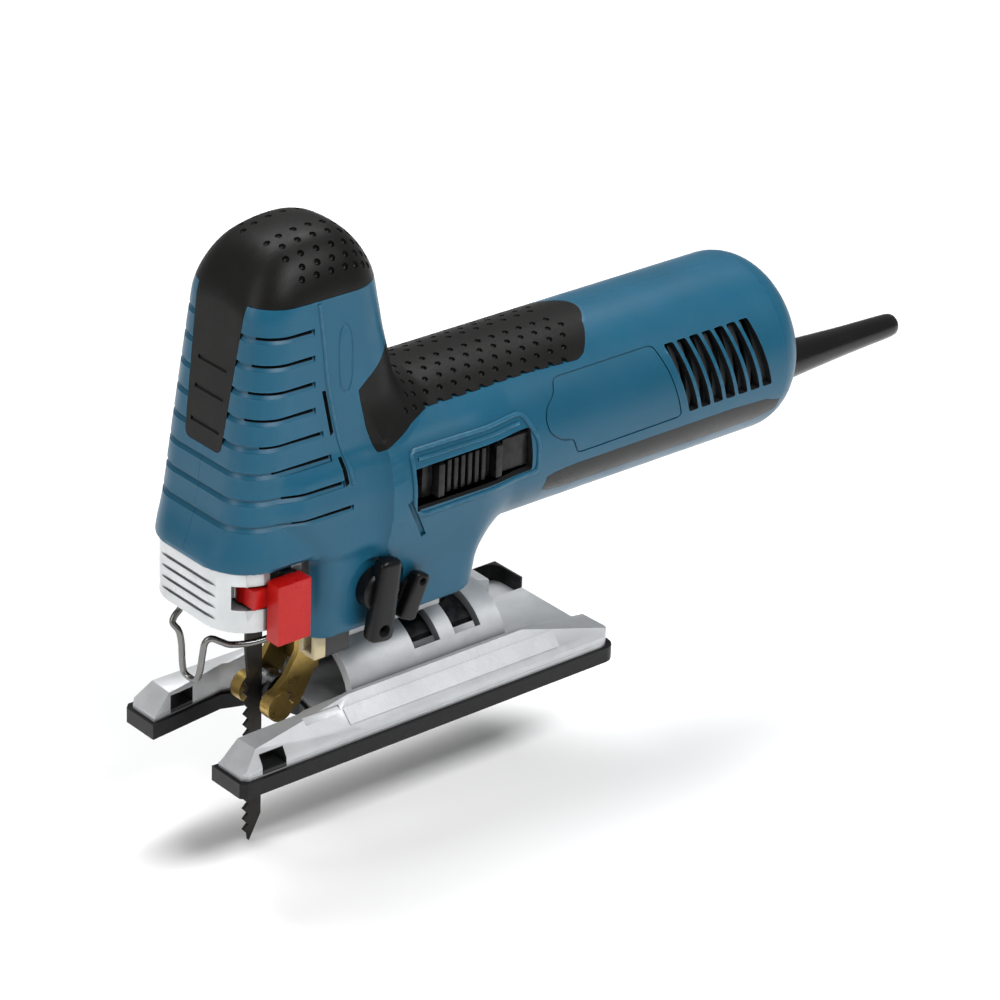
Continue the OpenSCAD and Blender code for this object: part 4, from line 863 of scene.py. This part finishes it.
def lever(name, grip_bar, hub, hole, reach, axis, turn, n):
    """Lever: handle and hub in one, with a blind hole near the handle's end, reach from the axle (minus is down)."""
    ob = make(name, [grip_bar], HANDLE, 0, 0)
    carve(ob, "hub", [lathe_y(hub, *axis)], kind="UNION", mats=HANDLE)
    t = math.radians(turn)
    at = axis[0] + reach * math.sin(t), axis[1] + reach * math.cos(t)
    # The blind hole's walls are painted dark, as shade
    carve(ob, "end_hole", [lathe_y(hole, *at, n)], 1, mats=HANDLE)
    soften(ob, 40)
    finished(ob, name + "_lever_skin", name + "_lever")


lever("orbit", bar(-17, 12, 4.9, 4.2, -35.6, -29.6, 8, *ORBIT_AXIS, 2.4),
      [(-32.4, 6.6), (-31.6, 7.4), (-27.4, 7.5), (-27.3, 4), (-13.2, 4)],
      [(-40, 2.3), (-31.5, 2.1)], -12.6, ORBIT_AXIS, 8, 20)
lever("blower", bar(-9.2, 7.2, 3.6, 3.2, -33.6, -28.7, 25, *BLOWER_AXIS, 1.6),
      [(-30.2, 4.6), (-28.4, 4.8), (-28.3, 2.6), (-11.2, 2.6)],
      [(-40, 1.5), (-30.5, 1.4)], 4.6, BLOWER_AXIS, 25, 16)

slider = make("slider", [block((-5.4, 38.0), (-28.4, -25.0), (84.8, 97.4))], [black], 0, 0)
# Two end bars, the flat rear plate, then six thin ribs between the bars
bars = [(-1.6, 1.0, -32.3), (22.6, 25.2, -32.3), (27.0, 38.0, -29.8)]
bars += [(3.2 + 2.9 * i, 4.9 + 2.9 * i, -30.8) for i in range(6)]
for x0, x1, y in bars:
    carve(slider, "rib", [block((x0, x1), (y, -26), (85.3, 96.9))], kind="UNION", mats=[black])
carve(slider, "flange", [block((-8.4, 40.0), (-25.2, -24.1), (83.2, 98.6))], kind="UNION", mats=[black])
mod = slider.modifiers.new("round", "BEVEL")
mod.width, mod.segments, mod.limit_method = 0.0004, 3, "ANGLE"
settle(slider)
soften(slider, 32)
finished(slider, "switch_slider_skin", "switch_slider")

# Duct block: cream in front, black behind
duct = Finish("duct_block")
cream_share = duct.within(("X", -0.05, -0.0385))
duct_mat = duct.done(duct.mix(cream_share, srgb(16, 16, 17), srgb(178, 166, 132)),
                     duct.ramp(duct.noise(120, 4), 0.3, 0.7, 0.35, 0.55), duct.noise(1500, 3), 0.00003)
rounded("blower_duct", duct_mat, 0.6, 3)
rounded("guide_fork", brass, 0.35, 2)

# Sleeve: x and radius along the outside, then back along the bore
sleeve = [(154.5, 8.8), (157.4, 8.8), (157.6, 7.6), (164, 7.6), (166, 7.55), (172, 7.4), (182, 7.1), (196, 6.2),
          (214, 5.2), (228, 4.7), (235, 4.4), (237.2, 4.1), (238, 3.6), (238, 3.2), (154.5, 3.2)]
c, sn = circle(56)
prof = np.array(sleeve)
ring = np.stack([np.repeat(prof[:, :1], 56, 1), prof[:, 1:] * c, CORD_Z + prof[:, 1:] * sn], -1)
finished(make("sleeve", [hoop(ring)], [sleeve_black], 0, 40), "cord_sleeve_skin", "cord_sleeve")

# Bent wire, from its end in the guard to the end behind the lever
wire = [(-75, 7.5, 60), (-75, 7.5, 54), (-75.4, 7.5, 51.2), (-77.6, 7.5, 49.2), (-78.6, 7.0, 47.2),
        (-77.4, 5.4, 44.6), (-76.8, 4.8, 40), (-76.6, 4.6, 33), (-76.2, 4.0, 29.6), (-75.6, 1.4, 28.5),
        (-75.4, -1.4, 29.1), (-75, -2.6, 32), (-74.2, -3.0, 38), (-73.5, -3.4, 42.6), (-71.9, -4.7, 44.4),
        (-69, -6.4, 43), (-66, -7.6, 41.6), (-58, -9.4, 40.7), (-48, -10.1, 41.1), (-43.4, -10.4, 41.8),
        (-40.2, -11.6, 43.2), (-39.1, -12.1, 45), (-39, -12.2, 48)]
finished(make("wire", [tube(curve_through(wire, 150), 1.12)], [wire_steel], 0, 60), "wire_guard_skin", "wire_guard")

# ---------- finishes of the pieces that stay as they are ----------
plain = {
    "saw_blade": blade_steel, "blade_clamp": dark_zinc, "guide_roller": steel, "roller_pin": steel,
    "fork_pin": steel, "lever_hinge_pin": steel, "housing_screws": dark_zinc, "vent_screens": mesh_black,
    "speed_dial": black, "base_plate": alloy, "bevel_clamp": black, "clamp_screws": black, "gear_case": alloy,
    "gear_wheel": steel, "gear_axle": steel, "crank_pin": steel, "crank_slider": brass,
    "counterweight": dark_zinc, "rocker_frame": steel, "rocker_pins": steel, "plunger_bushes": brass,
    "plunger": steel, "armature_shaft": steel, "armature_core": dark_zinc, "commutator": copper,
    "motor_pinion": steel, "cooling_fan": black, "stator_core": dark_zinc, "field_coils": copper,
    "front_bearing": steel, "rear_bearing": steel, "bearing_bridge": black, "brush_holders": brass,
    "carbon_brushes": black, "brush_springs": steel, "cord_clamp": black, "cord_clamp_screws": dark_zinc,
    "switch_block": black, "speed_module": board,
}
for name, ob in frame["nodes"].items():
    paint(ob, [plain.get(name, dark_zinc)])

# ---------- floor, light, camera ----------
me = bpy.data.meshes.new("floor")
me.from_pydata([(-3, -3, -0.0405), (-3, 3, -0.0405), (3, -3, -0.0405), (3, 3, -0.0405)], [], [(0, 2, 3, 1)])
floor = bpy.data.objects.new("floor", me)
bpy.context.scene.collection.objects.link(floor)
pale = Finish("pale_floor")
tint = pale.mix(pale.ramp(pale.noise(3, 2), 0.3, 0.7), (0.9, 0.9, 0.9, 1), (0.94, 0.94, 0.94, 1))
me.materials.append(pale.done(tint, 0.75, pale.noise(300, 2), 0.00002))

world = bpy.data.worlds.new("studio")
bpy.context.scene.world = world
world.use_nodes = True
sky = world.node_tree.nodes["Background"]
sky.inputs["Color"].default_value = (1, 1, 1, 1)
sky.inputs["Strength"].default_value = 0.3


def lamp(name, where, aim, size, power):
    """Soft rectangular lamp that faces a place: metres and watts."""
    data = bpy.data.lights.new(name, "AREA")
    data.shape, data.size, data.size_y, data.energy = "RECTANGLE", size[0], size[1], power
    ob = bpy.data.objects.new(name, data)
    ob.location = where
    ob.rotation_euler = (Vector(aim) - Vector(where)).to_track_quat("-Z", "Y").to_euler()
    bpy.context.scene.collection.objects.link(ob)


lamp("key", (0.1, -1.0, 1.25), (0.03, 0, 0.1), (1.2, 0.3), 22)
lamp("top", (0.2, 0.5, 1.3), (0.03, 0, 0.08), (1.3, 0.5), 17)
lamp("side", (-1.3, 0.2, 0.7), (-0.06, 0, 0.1), (0.3, 0.9), 6)

# Camera: turned round the tool, raised and rolled, and its distance from the place it looks at, in millimetres
turned, raised, roll = math.radians(-41.0864), math.radians(26.5761), math.radians(2.1983)
DISTANCE = 1369.7335
back = Vector((math.sin(turned) * math.cos(raised), -math.cos(turned) * math.cos(raised), math.sin(raised)))
right = Vector((math.cos(turned), math.sin(turned), 0))
up = back.cross(right)
across = math.cos(roll) * right + math.sin(roll) * up
upright = -math.sin(roll) * right + math.cos(roll) * up
spot = Vector((32.5852, -23.3174, 70.8314)) + back * DISTANCE
m = Matrix((across, upright, back)).transposed().to_4x4()
m.translation = spot * MM
cam_data = bpy.data.cameras.new("view")
cam_data.lens, cam_data.sensor_width = 149.3367, 36.0
cam = bpy.data.objects.new("view", cam_data)
cam.matrix_world = m
bpy.context.scene.collection.objects.link(cam)
bpy.context.scene.camera = cam
bpy.context.scene.view_settings.view_transform = "Standard"
